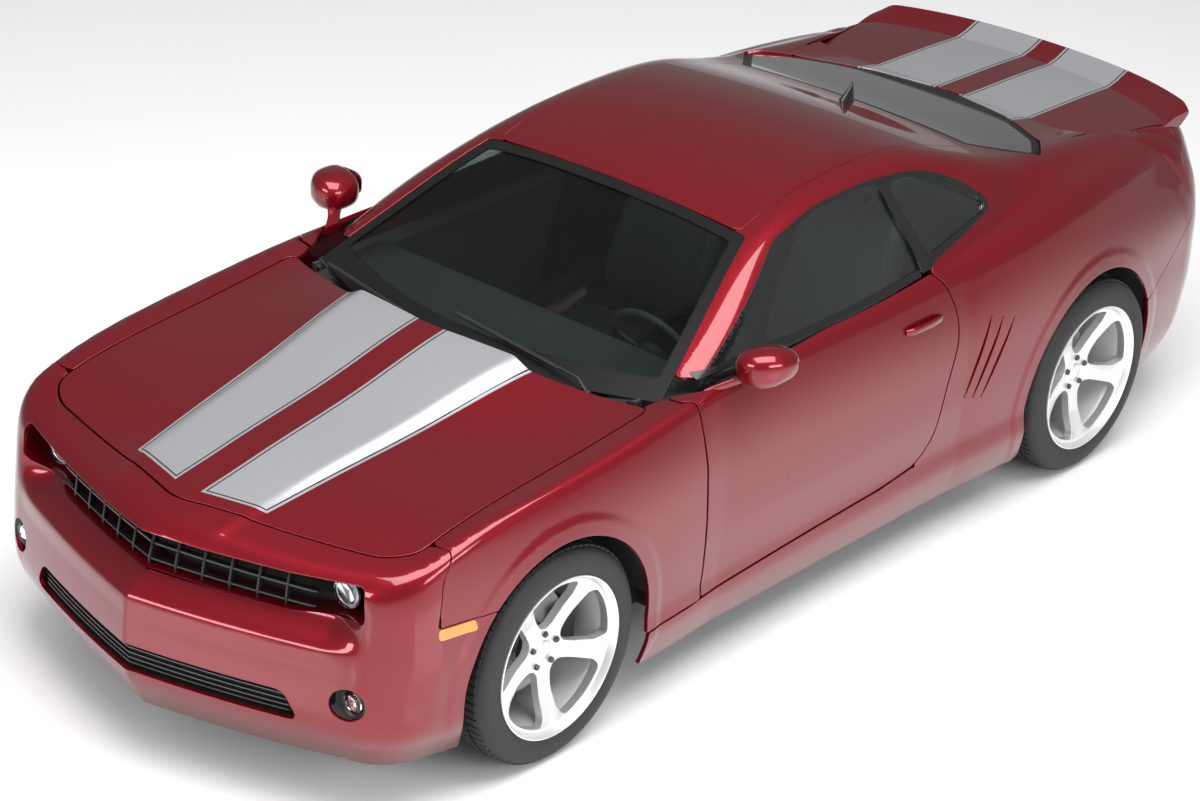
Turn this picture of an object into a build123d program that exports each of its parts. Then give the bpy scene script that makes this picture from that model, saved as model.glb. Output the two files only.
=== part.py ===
from build123d import *
from math import cos, hypot, radians, sin
import os

# A two-door muscle car with a long bonnet, a short deck and wide rear haunches.
# Frame: x forward, y to the driver's left, z up, millimetres. The origin is on the floor
# under the middle of the overall length. Body panels are cut from two envelope forms: the side
# form (plan outlines stacked by height) and the top form (crowned sections along the car). The
# glasshouse has the same pair of forms. Each panel keeps its real wall and shut line.
os.makedirs("parts", exist_ok=True)

# ---------------------------------------------------------------- driving dimensions, mm
overall_length = 4836.0
front_overhang = 947.0
wheelbase = 2852.0
front_track = 1618.0
rear_track = 1628.0
tyre_radius = 364.0
front_tyre_width = 245.0
rear_tyre_width = 275.0
rim_radius = 271.0
ground_clearance = 150.0

skin = 24.0              # outer panel with its flanges
pillar_wall = 42.0       # roof rails and pillars
door_wall = 105.0        # a whole door, skin to trim
sill_wall = 115.0
glass_wall = 5.0
shut_gap = 6.0           # round every panel that moves
seam_gap = 0.3           # between fixed panels
arch_radius_front = 404.0
arch_radius_rear = 414.0

nose_x = overall_length / 2
front_axle_x = nose_x - front_overhang
rear_axle_x = front_axle_x - wheelbase
axle_z = tyre_radius

# ---------------------------------------------------------------- envelope tables
# side form, one plan outline per height
# z, nose x, corner start x y, corner end x y, front wing y, waist y, haunch y,
# tail corner start x y, tail corner end x y, tail x
SIDE_LEVELS = [
    (150, 2326, 2115, 650, 1945, 805, 868, 868, 866, -2010, 790, -2190, 600, -2265),
    (285, 2402, 2190, 705, 1985, 880, 925, 908, 924, -2035, 850, -2280, 650, -2385),
    (510, 2418, 2185, 728, 1975, 905, 940, 928, 951, -2050, 880, -2320, 680, -2418),
    (760, 2352, 2150, 745, 1950, 893, 935, 922, 949, -2045, 868, -2312, 690, -2402),
    (960, 2262, 2070, 715, 1895, 850, 884, 876, 902, -2010, 790, -2290, 660, -2384),
    (1130, 2150, 1980, 690, 1820, 790, 828, 822, 845, -1975, 705, -2265, 600, -2366),
]
# top form, one crowned section per station
# x, centre z, bulge edge y z, bulge foot y z, bonnet edge y z, crest y z, outer z at the half width
TOP_STATIONS = [
    (2470, 700, 150, 694, 200, 690, 700, 560, 860, 500, 430),
    (2345, 778, 190, 770, 240, 764, 720, 690, 860, 650, 600),
    (2200, 836, 220, 828, 270, 820, 740, 770, 870, 755, 730),
    (2040, 868, 240, 862, 290, 851, 755, 838, 880, 838, 825),
    (1880, 897, 255, 893, 305, 877, 765, 882, 890, 890, 880),
    (1471, 968, 290, 965, 350, 938, 765, 925, 890, 940, 925),
    (1080, 1052, 320, 1046, 400, 1004, 755, 958, 880, 968, 950),
    (800, 1060, 330, 1052, 420, 1020, 745, 985, 870, 992, 970),
    (300, 1020, 330, 1018, 430, 1012, 740, 1006, 870, 1004, 985),
    (-400, 1030, 330, 1030, 430, 1028, 740, 1026, 870, 1024, 1000),
    (-900, 1070, 330, 1068, 520, 1062, 760, 1048, 880, 1044, 1015),
    (-1381, 1100, 330, 1098, 600, 1084, 770, 1052, 880, 1056, 1020),
    (-1750, 1092, 330, 1090, 610, 1076, 760, 1046, 860, 1058, 1015),
    (-2100, 1082, 330, 1080, 610, 1068, 730, 1052, 820, 1050, 1000),
    (-2460, 1062, 330, 1060, 600, 1050, 690, 1036, 780, 1030, 980),
]
# glasshouse side form, one half width per station on each level
GLASS_STATIONS = (1200, 800, 200, -400, -900, -1340, -1900)
# z, y at each station
GLASS_LEVELS = [
    (930, 800, 812, 868, 868, 838, 770, 660),
    (1110, 715, 722, 752, 770, 768, 700, 600),
    (1260, 610, 618, 632, 640, 640, 610, 520),
    (1340, 520, 530, 560, 575, 570, 540, 440),
    (1430, 330, 345, 400, 420, 415, 380, 300),
]
# glasshouse roof form: x, centre z, fall at y = 500
ROOF_STATIONS = [
    (1120, 921, 45),
    (800, 1049, 38),
    (500, 1170, 26),
    (215, 1284, 15),
    (-20, 1348, 17),
    (-350, 1388, 22),
    (-700, 1344, 20),
    (-1055, 1233, 13),
    (-1400, 1158, 10),
    (-1720, 1096, 8),
    (-1950, 1050, 8),
]
form_half_width = 1050.0
roof_half_width = 900.0


# ---------------------------------------------------------------- form makers
def arc_through(start, middle, end, z):
    return ThreePointArc((*start, z), (*middle, z), (*end, z))


def bowed(start, end, bow):
    """The middle of a line from start to end, pushed outboard by bow."""
    run_x, run_y = end[0] - start[0], end[1] - start[1]
    span = hypot(run_x, run_y)
    return (start[0] + end[0]) / 2 - run_y / span * bow, (start[1] + end[1]) / 2 + run_x / span * bow


def side_outline(row, inset):
    """One closed plan outline of arcs, the left half from nose to tail and the right half back."""
    (z, nose, start_x, start_y, end_x, end_y, front_y, waist_y, haunch_y,
     tail_start_x, tail_start_y, tail_end_x, tail_end_y, tail) = row
    nose_pt = (nose - inset, 0)
    corner_start = (start_x - inset, start_y - inset / 2)
    corner_end = (end_x - inset / 2, end_y - inset)
    wing = (front_axle_x, front_y - inset)
    wing_back = (700, (front_y + 3 * waist_y) / 4 - inset)
    waist = (150, waist_y - inset)
    waist_back = (-600, (2 * waist_y + haunch_y) / 3 - inset)
    haunch = (rear_axle_x, haunch_y - inset)
    tail_start = (tail_start_x + inset / 2, tail_start_y - inset)
    tail_end = (tail_end_x + inset, tail_end_y - inset / 2)
    tail_pt = (tail + inset, 0)
    # the outline runs nose to tail with the outside on its left, so a bow outboard is negative
    half = [
        (nose_pt, bowed(nose_pt, corner_start, -16), corner_start),
        (corner_start, bowed(corner_start, corner_end, -38), corner_end),
        (corner_end, wing, wing_back),
        (wing_back, waist, waist_back),
        (waist_back, haunch, tail_start),
        (tail_start, bowed(tail_start, tail_end, -42), tail_end),
        (tail_end, bowed(tail_end, tail_pt, -18), tail_pt),
    ]
    edges = [arc_through(a, m, b, z) for a, m, b in half]
    edges += [arc_through((b[0], -b[1]), (m[0], -m[1]), (a[0], -a[1]), z) for a, m, b in reversed(half)]
    return Wire(edges)


def side_form(inset=0.0):
    return Solid.make_loft([side_outline(row, inset) for row in SIDE_LEVELS], ruled=True)


def top_form(inset=0.0):
    wires = []
    for x, centre, edge_y, edge_z, foot_y, foot_z, bonnet_y, bonnet_z, crest_y, crest_z, outer_z in TOP_STATIONS:
        left = [(edge_y, edge_z), (foot_y, foot_z), (bonnet_y, bonnet_z), (crest_y, crest_z),
                (form_half_width, outer_z)]
        points = [(y, z - inset) for y, z in left] + [(form_half_width, 0), (-form_half_width, 0)]
        points += [(-y, z - inset) for y, z in reversed(left)] + [(0, centre - inset)]
        wires.append(Wire.make_polygon([(x, y, z) for y, z in points], close=True))
    return Solid.make_loft(wires, ruled=True)


def glass_form(inset=0.0):
    wires = []
    for z, *widths in GLASS_LEVELS:
        left = [(x, y - inset, z) for x, y in zip(GLASS_STATIONS, widths)]
        right = [(x, -y, z) for x, y, z in reversed(left)]
        wires.append(Wire.make_polygon(left + right, close=True))
    return Solid.make_loft(wires, ruled=True)


def roof_form(inset=0.0):
    wires = []
    for x, centre, fall in ROOF_STATIONS:
        top = centre - inset
        edge = top - fall * (roof_half_width / 500) ** 2
        crown = ThreePointArc((x, roof_half_width, edge), (x, 0, top), (x, -roof_half_width, edge))
        foot = 800.0
        wires.append(Wire([
            crown,
            Line((x, -roof_half_width, edge), (x, -roof_half_width, foot)),
            Line((x, -roof_half_width, foot), (x, roof_half_width, foot)),
            Line((x, roof_half_width, foot), (x, roof_half_width, edge)),
        ]))
    return Solid.make_loft(wires, ruled=True)


def body_form(inset=0.0, top_inset=None):
    return side_form(inset) & top_form(inset if top_inset is None else top_inset)


def cabin_form(inset=0.0):
    return glass_form(inset) & roof_form(inset)


# ---------------------------------------------------------------- helpers
def mirrored(shape):
    return shape.mirror(Plane.XZ)


def both_sides(shape):
    return Compound(children=[*shape.solids(), *mirrored(shape).solids()])


def block(x_low, x_high, y_low, y_high, z_low, z_high):
    size = (x_high - x_low, y_high - y_low, z_high - z_low)
    return Pos(x_low, y_low, z_low) * Solid.make_box(*size)


def side_prism(points, y_low, y_high):
    """A side view outline of x, z points, from y_low to y_high."""
    face = make_face(Wire.make_polygon([(x, y_low, z) for x, z in points], close=True))
    return extrude(face, y_high - y_low, dir=(0, 1, 0))


def plan_prism(points, z_low, z_high):
    face = make_face(Wire.make_polygon([(x, y, z_low) for x, y in points], close=True))
    return extrude(face, z_high - z_low, dir=(0, 0, 1))


def front_prism(points, x_low, x_high):
    """A front view outline of y, z points, from x_low to x_high."""
    face = make_face(Wire.make_polygon([(x_low, y, z) for y, z in points], close=True))
    return extrude(face, x_high - x_low, dir=(1, 0, 0))


def rod(start, end, radius):
    run = Vector(*end) - Vector(*start)
    return Solid.make_cylinder(radius, run.length, Plane(origin=start, z_dir=run))


def grown(points, amount):
    """A closed outline with each straight side moved out by amount."""
    count = len(points)
    doubled_area = sum(points[i - 1][0] * points[i][1] - points[i][0] * points[i - 1][1] for i in range(count))
    sign = 1 if doubled_area > 0 else -1
    moved = []
    for i in range(count):
        before, here, after = points[i - 1], points[i], points[(i + 1) % count]
        first, second = side_normal(before, here, sign), side_normal(here, after, sign)
        share = amount / (1 + first[0] * second[0] + first[1] * second[1])
        moved.append((here[0] + (first[0] + second[0]) * share, here[1] + (first[1] + second[1]) * share))
    return moved


def side_normal(start, end, sign):
    run_x, run_y = end[0] - start[0], end[1] - start[1]
    span = hypot(run_x, run_y)
    return sign * run_y / span, -sign * run_x / span


def disc_y(x, z, radius, y_low, y_high):
    return rod((x, y_low, z), (x, y_high, z), radius)


def turned(profile, x, z, at_y):
    """A ring about an axis along y; the profile lists y from at_y and radius."""
    points = [(x, at_y + y, z + radius) for y, radius in profile]
    face = make_face(Wire.make_polygon(points, close=True))
    return revolve(face, Axis((x, at_y, z), (0, 1, 0)), 360)


# ---------------------------------------------------------------- shut lines, left side
hood_half_width = 780.0
hood_front_x = 2206.0
hood_rear_x = 1093.0
hood_corner_x = 925.0
fender_seam_x = 1956.0
hinge_x = 850.0           # the door's hinge axis, upright
hinge_y = 880.0
hinge_pin_radius = 8.0
hinge_clearance = 0.05
hinge_eye_radius = 14.0
hinge_ear_height = 20.0
door_hinge_heights = (420.0, 800.0)
lid_hinge_x = -1340.0     # the trunk lid's hinge axis, across the car
lid_hinge_z = 985.0
lid_arm_y = 520.0
lid_front_x = -1724.0
hood_hinge_x = 895.0      # the hood's hinge axis, across the car
hood_hinge_z = 950.0
hood_edge_z = 990.0        # the hood's rear corner, outer face
hood_arm_y = 690.0
# the door's front shut face turns about the hinge axis: z and radius
DOOR_FRONT_EDGE = [(280, 73), (400, 84), (590, 83.6), (776, 74), (927, 50.7), (1010, 42), (1120, 40)]
# x and z of the door's rear and lower shut line
DOOR_REAR_EDGE = [(-422, 1120), (-422, 1056), (-499, 989), (-544, 879), (-544, 786), (-487, 624), (-446, 441),
                  (-369, 367)]
DOOR_LOWER_EDGE = [(-173, 345), (790, 309)]
# the side window, x and z, from its foot at the mirror round to the quarter
WINDOW_TOP = [(790, 1000), (222, 1276), (-20, 1311), (-333, 1303), (-430, 1294)]
QUARTER_WINDOW = [(-478, 1284), (-558, 1270), (-701, 1232), (-830, 1170), (-880, 1118), (-694, 1082), (-478, 1062)]
belt_floor_z = 935.0
# plan outlines, left half, from the centre line round to it again
HOOD_PLAN = [(hood_front_x, 0), (2035, 700), (1968, hood_half_width), (hood_corner_x, hood_half_width),
             (985, 600), (1055, 400), (hood_rear_x, 0)]
SCREEN_PLAN = [(225, 0), (220, 300), (205, 561), (850, 752), (1010, 690), (1150, 400), (1180, 0)]
# the space inboard of the side windows
INNER_PLAN = [(960, 0), (960, 800), (860, 782), (212, 592), (-1095, 560), (-1095, 0)]
REAR_SCREEN_PLAN = [(-1120, 0), (-1112, 300), (-1095, 500), (-1325, 672), (-1480, 560), (-1640, 300), (-1706, 0)]
LID_PLAN = [(-1600, 0), (-1600, 600), (-1724, 620), (-2090, 690), (-2120, 700), (-2300, 560), (-2600, 0)]
ROOF_PLAN = [(225, 0), (220, 300), (205, 500), (190, 520), (-1090, 520), (-1095, 500), (-1112, 300), (-1120, 0)]
DECK_PLAN = [(-1850, 0), (-1850, 620), (-1480, 590), (-1480, 560), (-1640, 300), (-1706, 0)]
lid_lower_z = 985.0
cowl_top = 948.0
cowl_wall = 18.0
gill_top_x = -715.0
gill_low_x = -592.0
gill_top_z = 812.0
gill_low_z = 540.0
gill_pitch = 60.0
gill_step = 20.0
gill_width = 16.0
gill_depth = 8.0


def whole_plan(half, grow=0.0):
    """A left half outline from the centre line round to it again, mirrored and grown by a gap."""
    return grown(half + [(x, -y) for x, y in reversed(half[1:-1])], grow)


def hinge_core(grow):
    """The space round the door hinge that the door's front face turns about."""
    points = [(0, DOOR_FRONT_EDGE[0][0])]
    points += [(radius + grow, z) for z, radius in DOOR_FRONT_EDGE]
    points += [(0, DOOR_FRONT_EDGE[-1][0])]
    face = make_face(Wire.make_polygon([(hinge_x + r, hinge_y, z) for r, z in points], close=True))
    return revolve(face, Axis((hinge_x, hinge_y, 0), (0, 0, 1)), 360)


def door_outline(grow=0.0):
    rear = [(x - grow, z) for x, z in DOOR_REAR_EDGE]
    lower = [(x, z - grow) for x, z in DOOR_LOWER_EDGE]
    front = [(840, 309 - grow), (840, 1120)]
    return rear + lower + front


# ---------------------------------------------------------------- body panels
outer = body_form()
shell = outer - body_form(skin)
cabin = cabin_form()
cabin_shell = cabin - cabin_form(pillar_wall)
glass_shell = cabin - cabin_form(glass_wall)
far = 1200.0


def arch(axle_x, radius):
    return disc_y(axle_x, axle_z, radius, 480, far)


def hood_core(grow):
    """The space round the hood's hinge axis that the hood's rear corners turn about."""
    radius = hypot(hood_corner_x - hood_hinge_x, hood_edge_z - hood_hinge_z) + grow
    return disc_y(hood_hinge_x, hood_hinge_z, radius, -far, far)


def hood_panel():
    """The hood with a hinge ear near each rear corner."""
    panel = (shell & plan_prism(whole_plan(HOOD_PLAN), 700, 1200)) - hood_core(0)
    ear = side_prism([(hood_hinge_x, hood_hinge_z - 16), (1000, 935), (1000, 1010), (962, 1010), (962, 965),
                      (hood_hinge_x + 8, hood_hinge_z + 14)], hood_arm_y - 6, hood_arm_y + 6)
    ear &= body_form(6)
    ear += disc_y(hood_hinge_x, hood_hinge_z, 16, hood_arm_y - 6, hood_arm_y + 6)
    ear -= disc_y(hood_hinge_x, hood_hinge_z, hinge_pin_radius + hinge_clearance, 0, far)
    return panel + ear + mirrored(ear)


def fender():
    region = side_prism([
        (fender_seam_x, 1200), (fender_seam_x, 450), (1800, 450), (1471, 300), (1090, 300),
        (hinge_x, 303), (hinge_x, 1200)], 300, far)
    region += hinge_core(-shut_gap) & block(0, hinge_x, hinge_y - 8, far, 303, 1200)
    region -= plan_prism(whole_plan(HOOD_PLAN, shut_gap), 700, 1200)
    region -= arch(front_axle_x, arch_radius_front)
    region -= plan_prism([(hood_rear_x, 0), (hood_rear_x, 711), (880, 711), (700, 860), (0, 830), (0, 0)], 800, 1300)
    region -= block(hood_hinge_x, 1000, 0, hood_half_width + shut_gap, 900, 1100) - hood_core(-shut_gap)
    return largest((shell & region) - cabin)


def largest(shape):
    return max(shape.solids(), key=lambda solid: solid.volume)


def door():
    slab = outer - body_form(door_wall, -60)
    slab &= side_prism(door_outline(), 500, far)
    slab -= hinge_core(0)
    slab -= block(hinge_x - 50, far, 0, hinge_y, 0, far)
    return largest(slab - cabin) + [door_hinge_ear(z) for z in door_hinge_heights]


# plan of the door's gooseneck hinge arm from the hinge axis, clear of the fender's rear edge
DOOR_ARM_PLAN = [(-10, 0), (-10, -55), (-82, -55), (-82, -66), (10, -66), (10, 0)]


def door_hinge_ear(z):
    """A gooseneck that reaches from the door's front face to the hinge axis."""
    top = z + hinge_ear_height
    ear = plan_prism([(hinge_x + x, hinge_y + y) for x, y in DOOR_ARM_PLAN], z, top)
    ear += rod((hinge_x, hinge_y, z), (hinge_x, hinge_y, top), hinge_eye_radius)
    return ear - rod((hinge_x, hinge_y, z - 5), (hinge_x, hinge_y, top + 5), hinge_pin_radius + hinge_clearance)


def hinge_pillar():
    """The post ahead of the door, with a bracket and a pin for each hinge ear."""
    post = block(806, 900, 742, 795, 280, 950) + block(868, 900, 742, 880, 280, 886)
    for z in door_hinge_heights:
        post += block(hinge_x - 12, 900, hinge_y - 12, hinge_y + 12, z - 16, z - seam_gap)
        post += rod((hinge_x, hinge_y, z - 16), (hinge_x, hinge_y, z + 20), hinge_pin_radius)
    post -= cabin_form(pillar_wall)
    return post - plan_prism(whole_plan(SCREEN_PLAN, seam_gap), 925, 1500)


def window_opening(outline):
    """The space of a side window, outboard of the screens and the roof."""
    return side_prism(outline, 300, far) - plan_prism(INNER_PLAN, 800, 1500)


def door_glass():
    outline = WINDOW_TOP + [(-428, belt_floor_z), (770, belt_floor_z)]
    return largest(glass_shell & window_opening(outline))


def quarter_glass():
    return largest(glass_shell & window_opening(QUARTER_WINDOW))


def gill(index):
    """One slanted groove in the haunch ahead of the rear wheel."""
    top_x, low_x = gill_top_x - gill_pitch * index, gill_low_x - gill_pitch * index * 0.8
    top_z, low_z = gill_top_z - gill_step * index, gill_low_z - gill_step * index * 0.4
    outline = [(top_x, top_z), (low_x, low_z), (low_x - gill_width, low_z), (top_x - gill_width, top_z)]
    return side_prism(outline, 800, far)


def quarter_panel():
    region = side_prism([(-366, 165), (-366, 1250), (-2112, 1250), (-2112, 760), (-1800, 560), (-1381, 420),
                         (-980, 165)], 300, far)
    region -= side_prism(door_outline(shut_gap), 300, far)
    region -= plan_prism(whole_plan(LID_PLAN, shut_gap), 900, 1300) - lid_core(0)
    region -= plan_prism(whole_plan(DECK_PLAN, seam_gap), 900, 1300)
    region -= plan_prism(whole_plan(REAR_SCREEN_PLAN, seam_gap), 900, 1300)
    region -= plan_prism([(0, 0), (0, 820), (-430, 828), (-900, 765), (-1322, 662), (-1322, 0)], 800, 1300)
    grooves = (outer - body_form(gill_depth)) & [gill(index) for index in range(3)]
    return (shell & region) - arch(rear_axle_x, arch_radius_rear) - grooves


def sill():
    outline = [(1062, 165), (1062, 294), (850, 297), (790, 302), (-173, 338), (-366, 359), (-366, 165)]
    return (outer - body_form(sill_wall)) & side_prism(outline, 300, far)


def window_frame():
    """The pillars and the roof rail in one."""
    frame = cabin_shell & block(-1690, 860, 300, far, 900, 1500)
    frame -= outer & block(-2000, -400, 0, far, 0, 1500)
    frame -= window_opening(grown(WINDOW_TOP + [(-430, 800), (790, 800)], shut_gap))
    frame -= window_opening(QUARTER_WINDOW)
    frame -= plan_prism(whole_plan(SCREEN_PLAN, seam_gap), 900, 1500)
    frame -= plan_prism(whole_plan(ROOF_PLAN, seam_gap), 900, 1500)
    frame -= plan_prism(whole_plan(REAR_SCREEN_PLAN, seam_gap), 900, 1500)
    frame -= plan_prism(whole_plan(DECK_PLAN, seam_gap), 900, 1500)
    return largest(frame)


def side_body():
    return largest(quarter_panel() + sill() + window_frame() + hinge_pillar())


def roof_panel():
    return largest(cabin_shell & plan_prism(whole_plan(ROOF_PLAN), 1150, 1500))


def windscreen():
    return largest(glass_shell & plan_prism(whole_plan(SCREEN_PLAN), cowl_top + seam_gap, 1400))


def rear_glass():
    return largest(glass_shell & plan_prism(whole_plan(REAR_SCREEN_PLAN), 1000, 1400))


def lid_core(grow):
    """The space round the lid's hinge axis that the lid's front face turns about."""
    radius = hypot(lid_front_x - lid_hinge_x, 1080 - lid_hinge_z) + grow
    return disc_y(lid_hinge_x, lid_hinge_z, radius, -far, far)


# the gooseneck's side view from the hinge axis: x and z of its inner and outer edges
LID_ARM_INNER = [(-14, 0), (-232, -322), (-300, -266), (-355, -190), (-392, -95), (-404, 0), (-402, 76)]
LID_ARM_OUTER = [(-437, 76), (-438, 0), (-421, -110), (-374, -224), (-302, -313), (-222, -354), (12, -8)]


def lid_arm():
    """A gooseneck that dips under the deck edge and comes up to the lid."""
    outline = [(lid_hinge_x + x, lid_hinge_z + z) for x, z in LID_ARM_INNER + LID_ARM_OUTER]
    arm = side_prism(outline, lid_arm_y - 8, lid_arm_y + 8)
    arm += disc_y(lid_hinge_x, lid_hinge_z, 20, lid_arm_y - 8, lid_arm_y + 8)
    return arm - disc_y(lid_hinge_x, lid_hinge_z, hinge_pin_radius + hinge_clearance, lid_arm_y - 20, lid_arm_y + 20)


def trunk_lid():
    panel = largest((shell & plan_prism(whole_plan(LID_PLAN), lid_lower_z, 1200)) - lid_core(0))
    arm = lid_arm()
    return panel + arm + mirrored(arm)


def rear_deck():
    """The fixed strip between the rear glass and the lid."""
    strip = shell & plan_prism(whole_plan(DECK_PLAN), 1000, 1200) & lid_core(-shut_gap)
    return largest(strip - glass_shell)


def front_bumper():
    region = side_prism([(fender_seam_x + seam_gap, 1200), (2600, 1200), (2600, 100), (1700, 100), (1700, 449),
                         (fender_seam_x + seam_gap, 449)], -far, far)
    region -= plan_prism(whole_plan(HOOD_PLAN, shut_gap), 600, 1200)
    cover = shell & region
    cover -= both_sides(arch(front_axle_x, arch_radius_front))
    cover -= block(1700, 1900, -600, 600, 0, 1200)
    duct = front_prism(grown(UPPER_OPENING, duct_wall), 1900, 2600) & behind_cover(0, duct_depth)
    cover += duct
    cover -= front_prism(UPPER_OPENING, 1900, 2600)
    cover -= front_prism(LOWER_OPENING, 2000, 2600)
    cover -= both_sides(rod((2000, fog_y, fog_z), (2600, fog_y, fog_z), fog_radius + 6))
    return largest(cover)


plate_face_x = -2401.0
plate_bolt_spacing = 178.0
plate_bolt_z = 668.0
plate_bolt_radius = 3.5


def plate_recess():
    """A flat pocket for a number plate with two bolt holes."""
    pocket = block(-2600, plate_face_x, -168, 168, 545, 700)
    for y in (-plate_bolt_spacing / 2, plate_bolt_spacing / 2):
        pocket += rod((-2600, y, plate_bolt_z), (-2300, y, plate_bolt_z), plate_bolt_radius)
    return pocket


def tail_lamp_space(grow):
    spaces = [block(-2460, -2250, y - 62 - grow, y + 62 + grow, 828 - grow, 925 + grow) for y in (390, 540)]
    return Compound(children=spaces)


def rear_bumper():
    region = side_prism([(-2112 - seam_gap, 1200), (-2112 - seam_gap, 759), (-1800, 559), (-1600, 480), (-1600, 100),
                         (-2600, 100), (-2600, 1200)], -far, far)
    cover = shell & region
    cover -= both_sides(arch(rear_axle_x, arch_radius_rear))
    cover -= plan_prism(whole_plan(LID_PLAN, shut_gap), lid_lower_z - shut_gap, 1300)
    cover -= plate_recess()
    cover -= both_sides(tail_lamp_space(seam_gap))
    cover -= both_sides(rod((-2500, exhaust_y, exhaust_z), (-2200, exhaust_y, exhaust_z), exhaust_radius + 8))
    cover -= block(-1900, -1500, -600, 600, 0, 1200)
    return largest(cover)


def spoiler():
    """The upturned lip across the tail, seated on the lid."""
    section = [(-2090, 1080), (-2250, 1088), (-2405, 1108), (-2412, 1096), (-2376, 1062), (-2090, 1062)]
    lip = side_prism(section, -712, 712)
    plan = [(-2085, 712), (-2150, 640), (-2246, 400), (-2258, 0)]
    tail = [(-2600, 0), (-2600, 720), (-2300, 712)]
    outline = plan + [(x, -y) for x, y in reversed(plan)][1:] + [(x, -y) for x, y in reversed(tail)] + tail
    lip &= plan_prism(outline, 900, 1300)
    return largest(lip - outer)


# ---------------------------------------------------------------- lamps, grilles and trim
headlamp_radius = 46.0
headlamp_y = 590.0
headlamp_z = 690.0
halo_depth = 9.0
fog_radius = 48.0
fog_y = 700.0
fog_z = 392.0
# front view outlines of the openings in the bumper cover, y and z
UPPER_OPENING = [(-680, 648), (-660, 738), (660, 738), (680, 648), (480, 638), (-480, 638)]
LOWER_OPENING = [(-500, 385), (500, 385), (420, 250), (-420, 250)]
duct_wall = 8.0
duct_depth = 70.0
grille_depth = 20.0
grille_lap = 6.0
crate_pitch_y = 92.0
crate_half_width = 500.0
crate_bar = 12.0
lamp_bay_half_width = 60.0


def behind_cover(start, depth):
    """The layer from start to depth behind the bumper cover's inner face."""
    return body_form(skin + start) - body_form(skin + depth)


def upper_grille():
    """An egg crate at the back of the duct, with a bay for each headlamp at its ends."""
    back = behind_cover(duct_depth + seam_gap, duct_depth + grille_depth)
    plate = back & front_prism(grown(UPPER_OPENING, grille_lap), 1900, 2600)
    half_cell = (crate_pitch_y - crate_bar) / 2
    count = int(crate_half_width // crate_pitch_y)
    rows = ((645, 684), (696, 732))
    cells = [
        block(1900, 2600, index * crate_pitch_y - half_cell, index * crate_pitch_y + half_cell, low, high)
        for index in range(-count, count + 1) for low, high in rows
    ]
    bays = rod((1900, headlamp_y, headlamp_z), (2600, headlamp_y, headlamp_z), headlamp_radius + seam_gap)
    return largest(plate - cells - both_sides(bays))


def lower_grille():
    plate = behind_cover(seam_gap, grille_depth) & front_prism(grown(LOWER_OPENING, grille_lap), 1900, 2600)
    bars = [block(1900, 2600, -400, 400, z, z + 22) for z in (266, 300, 334)]
    return largest(plate - bars)


def headlamps():
    """Round lamps in the grille's end bays, each with a raised halo ring."""
    axis = ((1900, headlamp_y, headlamp_z), (2600, headlamp_y, headlamp_z))
    lamp = rod(*axis, headlamp_radius) & behind_cover(duct_depth, duct_depth + grille_depth)
    halo = rod(*axis, headlamp_radius - 4) - rod(*axis, headlamp_radius - 12)
    halo &= behind_cover(duct_depth - halo_depth, duct_depth + 5)
    return both_sides(largest(lamp) + halo)


def fog_lamps():
    lens = rod((1900, fog_y, fog_z), (2600, fog_y, fog_z), fog_radius)
    flange = rod((1900, fog_y, fog_z), (2600, fog_y, fog_z), fog_radius + 16)
    lamp = lens & (body_form(12) - body_form(skin + 10))
    return both_sides(largest(lamp) + largest(flange & behind_cover(seam_gap, 14)))


def tail_lamps():
    return both_sides(shell & tail_lamp_space(0))


# the mirror's housing in plan, x and y, and from ahead, y and z
MIRROR_PLAN = [(668, 905), (652, 972), (612, 1014), (566, 1034), (528, 1030), (516, 990), (520, 912), (570, 896)]
MIRROR_FRONT = [(896, 1010), (906, 1062), (950, 1090), (1006, 1088), (1036, 1062), (1038, 1020), (990, 996), (930, 990)]
mirror_foot_radius = 20.0


def mirror_housing():
    housing = plan_prism(MIRROR_PLAN, 980, 1100) & front_prism(MIRROR_FRONT, 500, 700)
    foot = rod((680, 846, 985), (600, 930, 1030), mirror_foot_radius)
    return largest((housing + foot) - outer - cabin)


def door_handle():
    """A pull bar over a shallow pad, on the door below its belt."""
    pad = (body_form(-3) - outer) & side_prism(grown(HANDLE_OUTLINE, 6), 800, far)
    bar = body_form(-18) - body_form(-10)
    bar &= side_prism(HANDLE_OUTLINE, 800, far)
    posts = [rod((x, 900, handle_z), (x, 1000, handle_z), 9) & (body_form(-12) - outer) for x in handle_post_x]
    return largest(pad + bar + posts)


handle_z = 880.0
handle_post_x = (-412.0, -242.0)
HANDLE_OUTLINE = [(-425, 868), (-430, 880), (-420, 892), (-235, 894), (-222, 882), (-235, 868)]


def side_markers():
    """An amber lamp on each front corner, let into the fender's front end."""
    lens = body_form(-3) - body_form(-seam_gap)
    return both_sides(largest(lens & side_prism(MARKER_OUTLINE, 800, far)))


MARKER_OUTLINE = [(1948, 628), (1945, 602), (1842, 622), (1838, 648)]


def wiper(foot, elbow, tip):
    """One arm with its blade, on a pivot that stands on the cowl."""
    pivot = rod((foot[0], foot[1], cowl_top), (foot[0], foot[1], foot[2] + 8), wiper_pivot_radius)
    return pivot + rod(foot, elbow, wiper_radius) + rod(elbow, tip, wiper_radius)


def wipers():
    return Compound(children=[wiper(*route) for route in WIPER_ROUTES])


def cowl():
    """The plain plastic scuttle between hood and windscreen."""
    half = [(hood_rear_x - shut_gap, 0), (1049, 400), (979, 600), (940, 670), (880, 670), (960, 560),
            (1000, 300), (1030, 0)]
    return plan_prism(whole_plan(half), cowl_top - cowl_wall, cowl_top)


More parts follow.
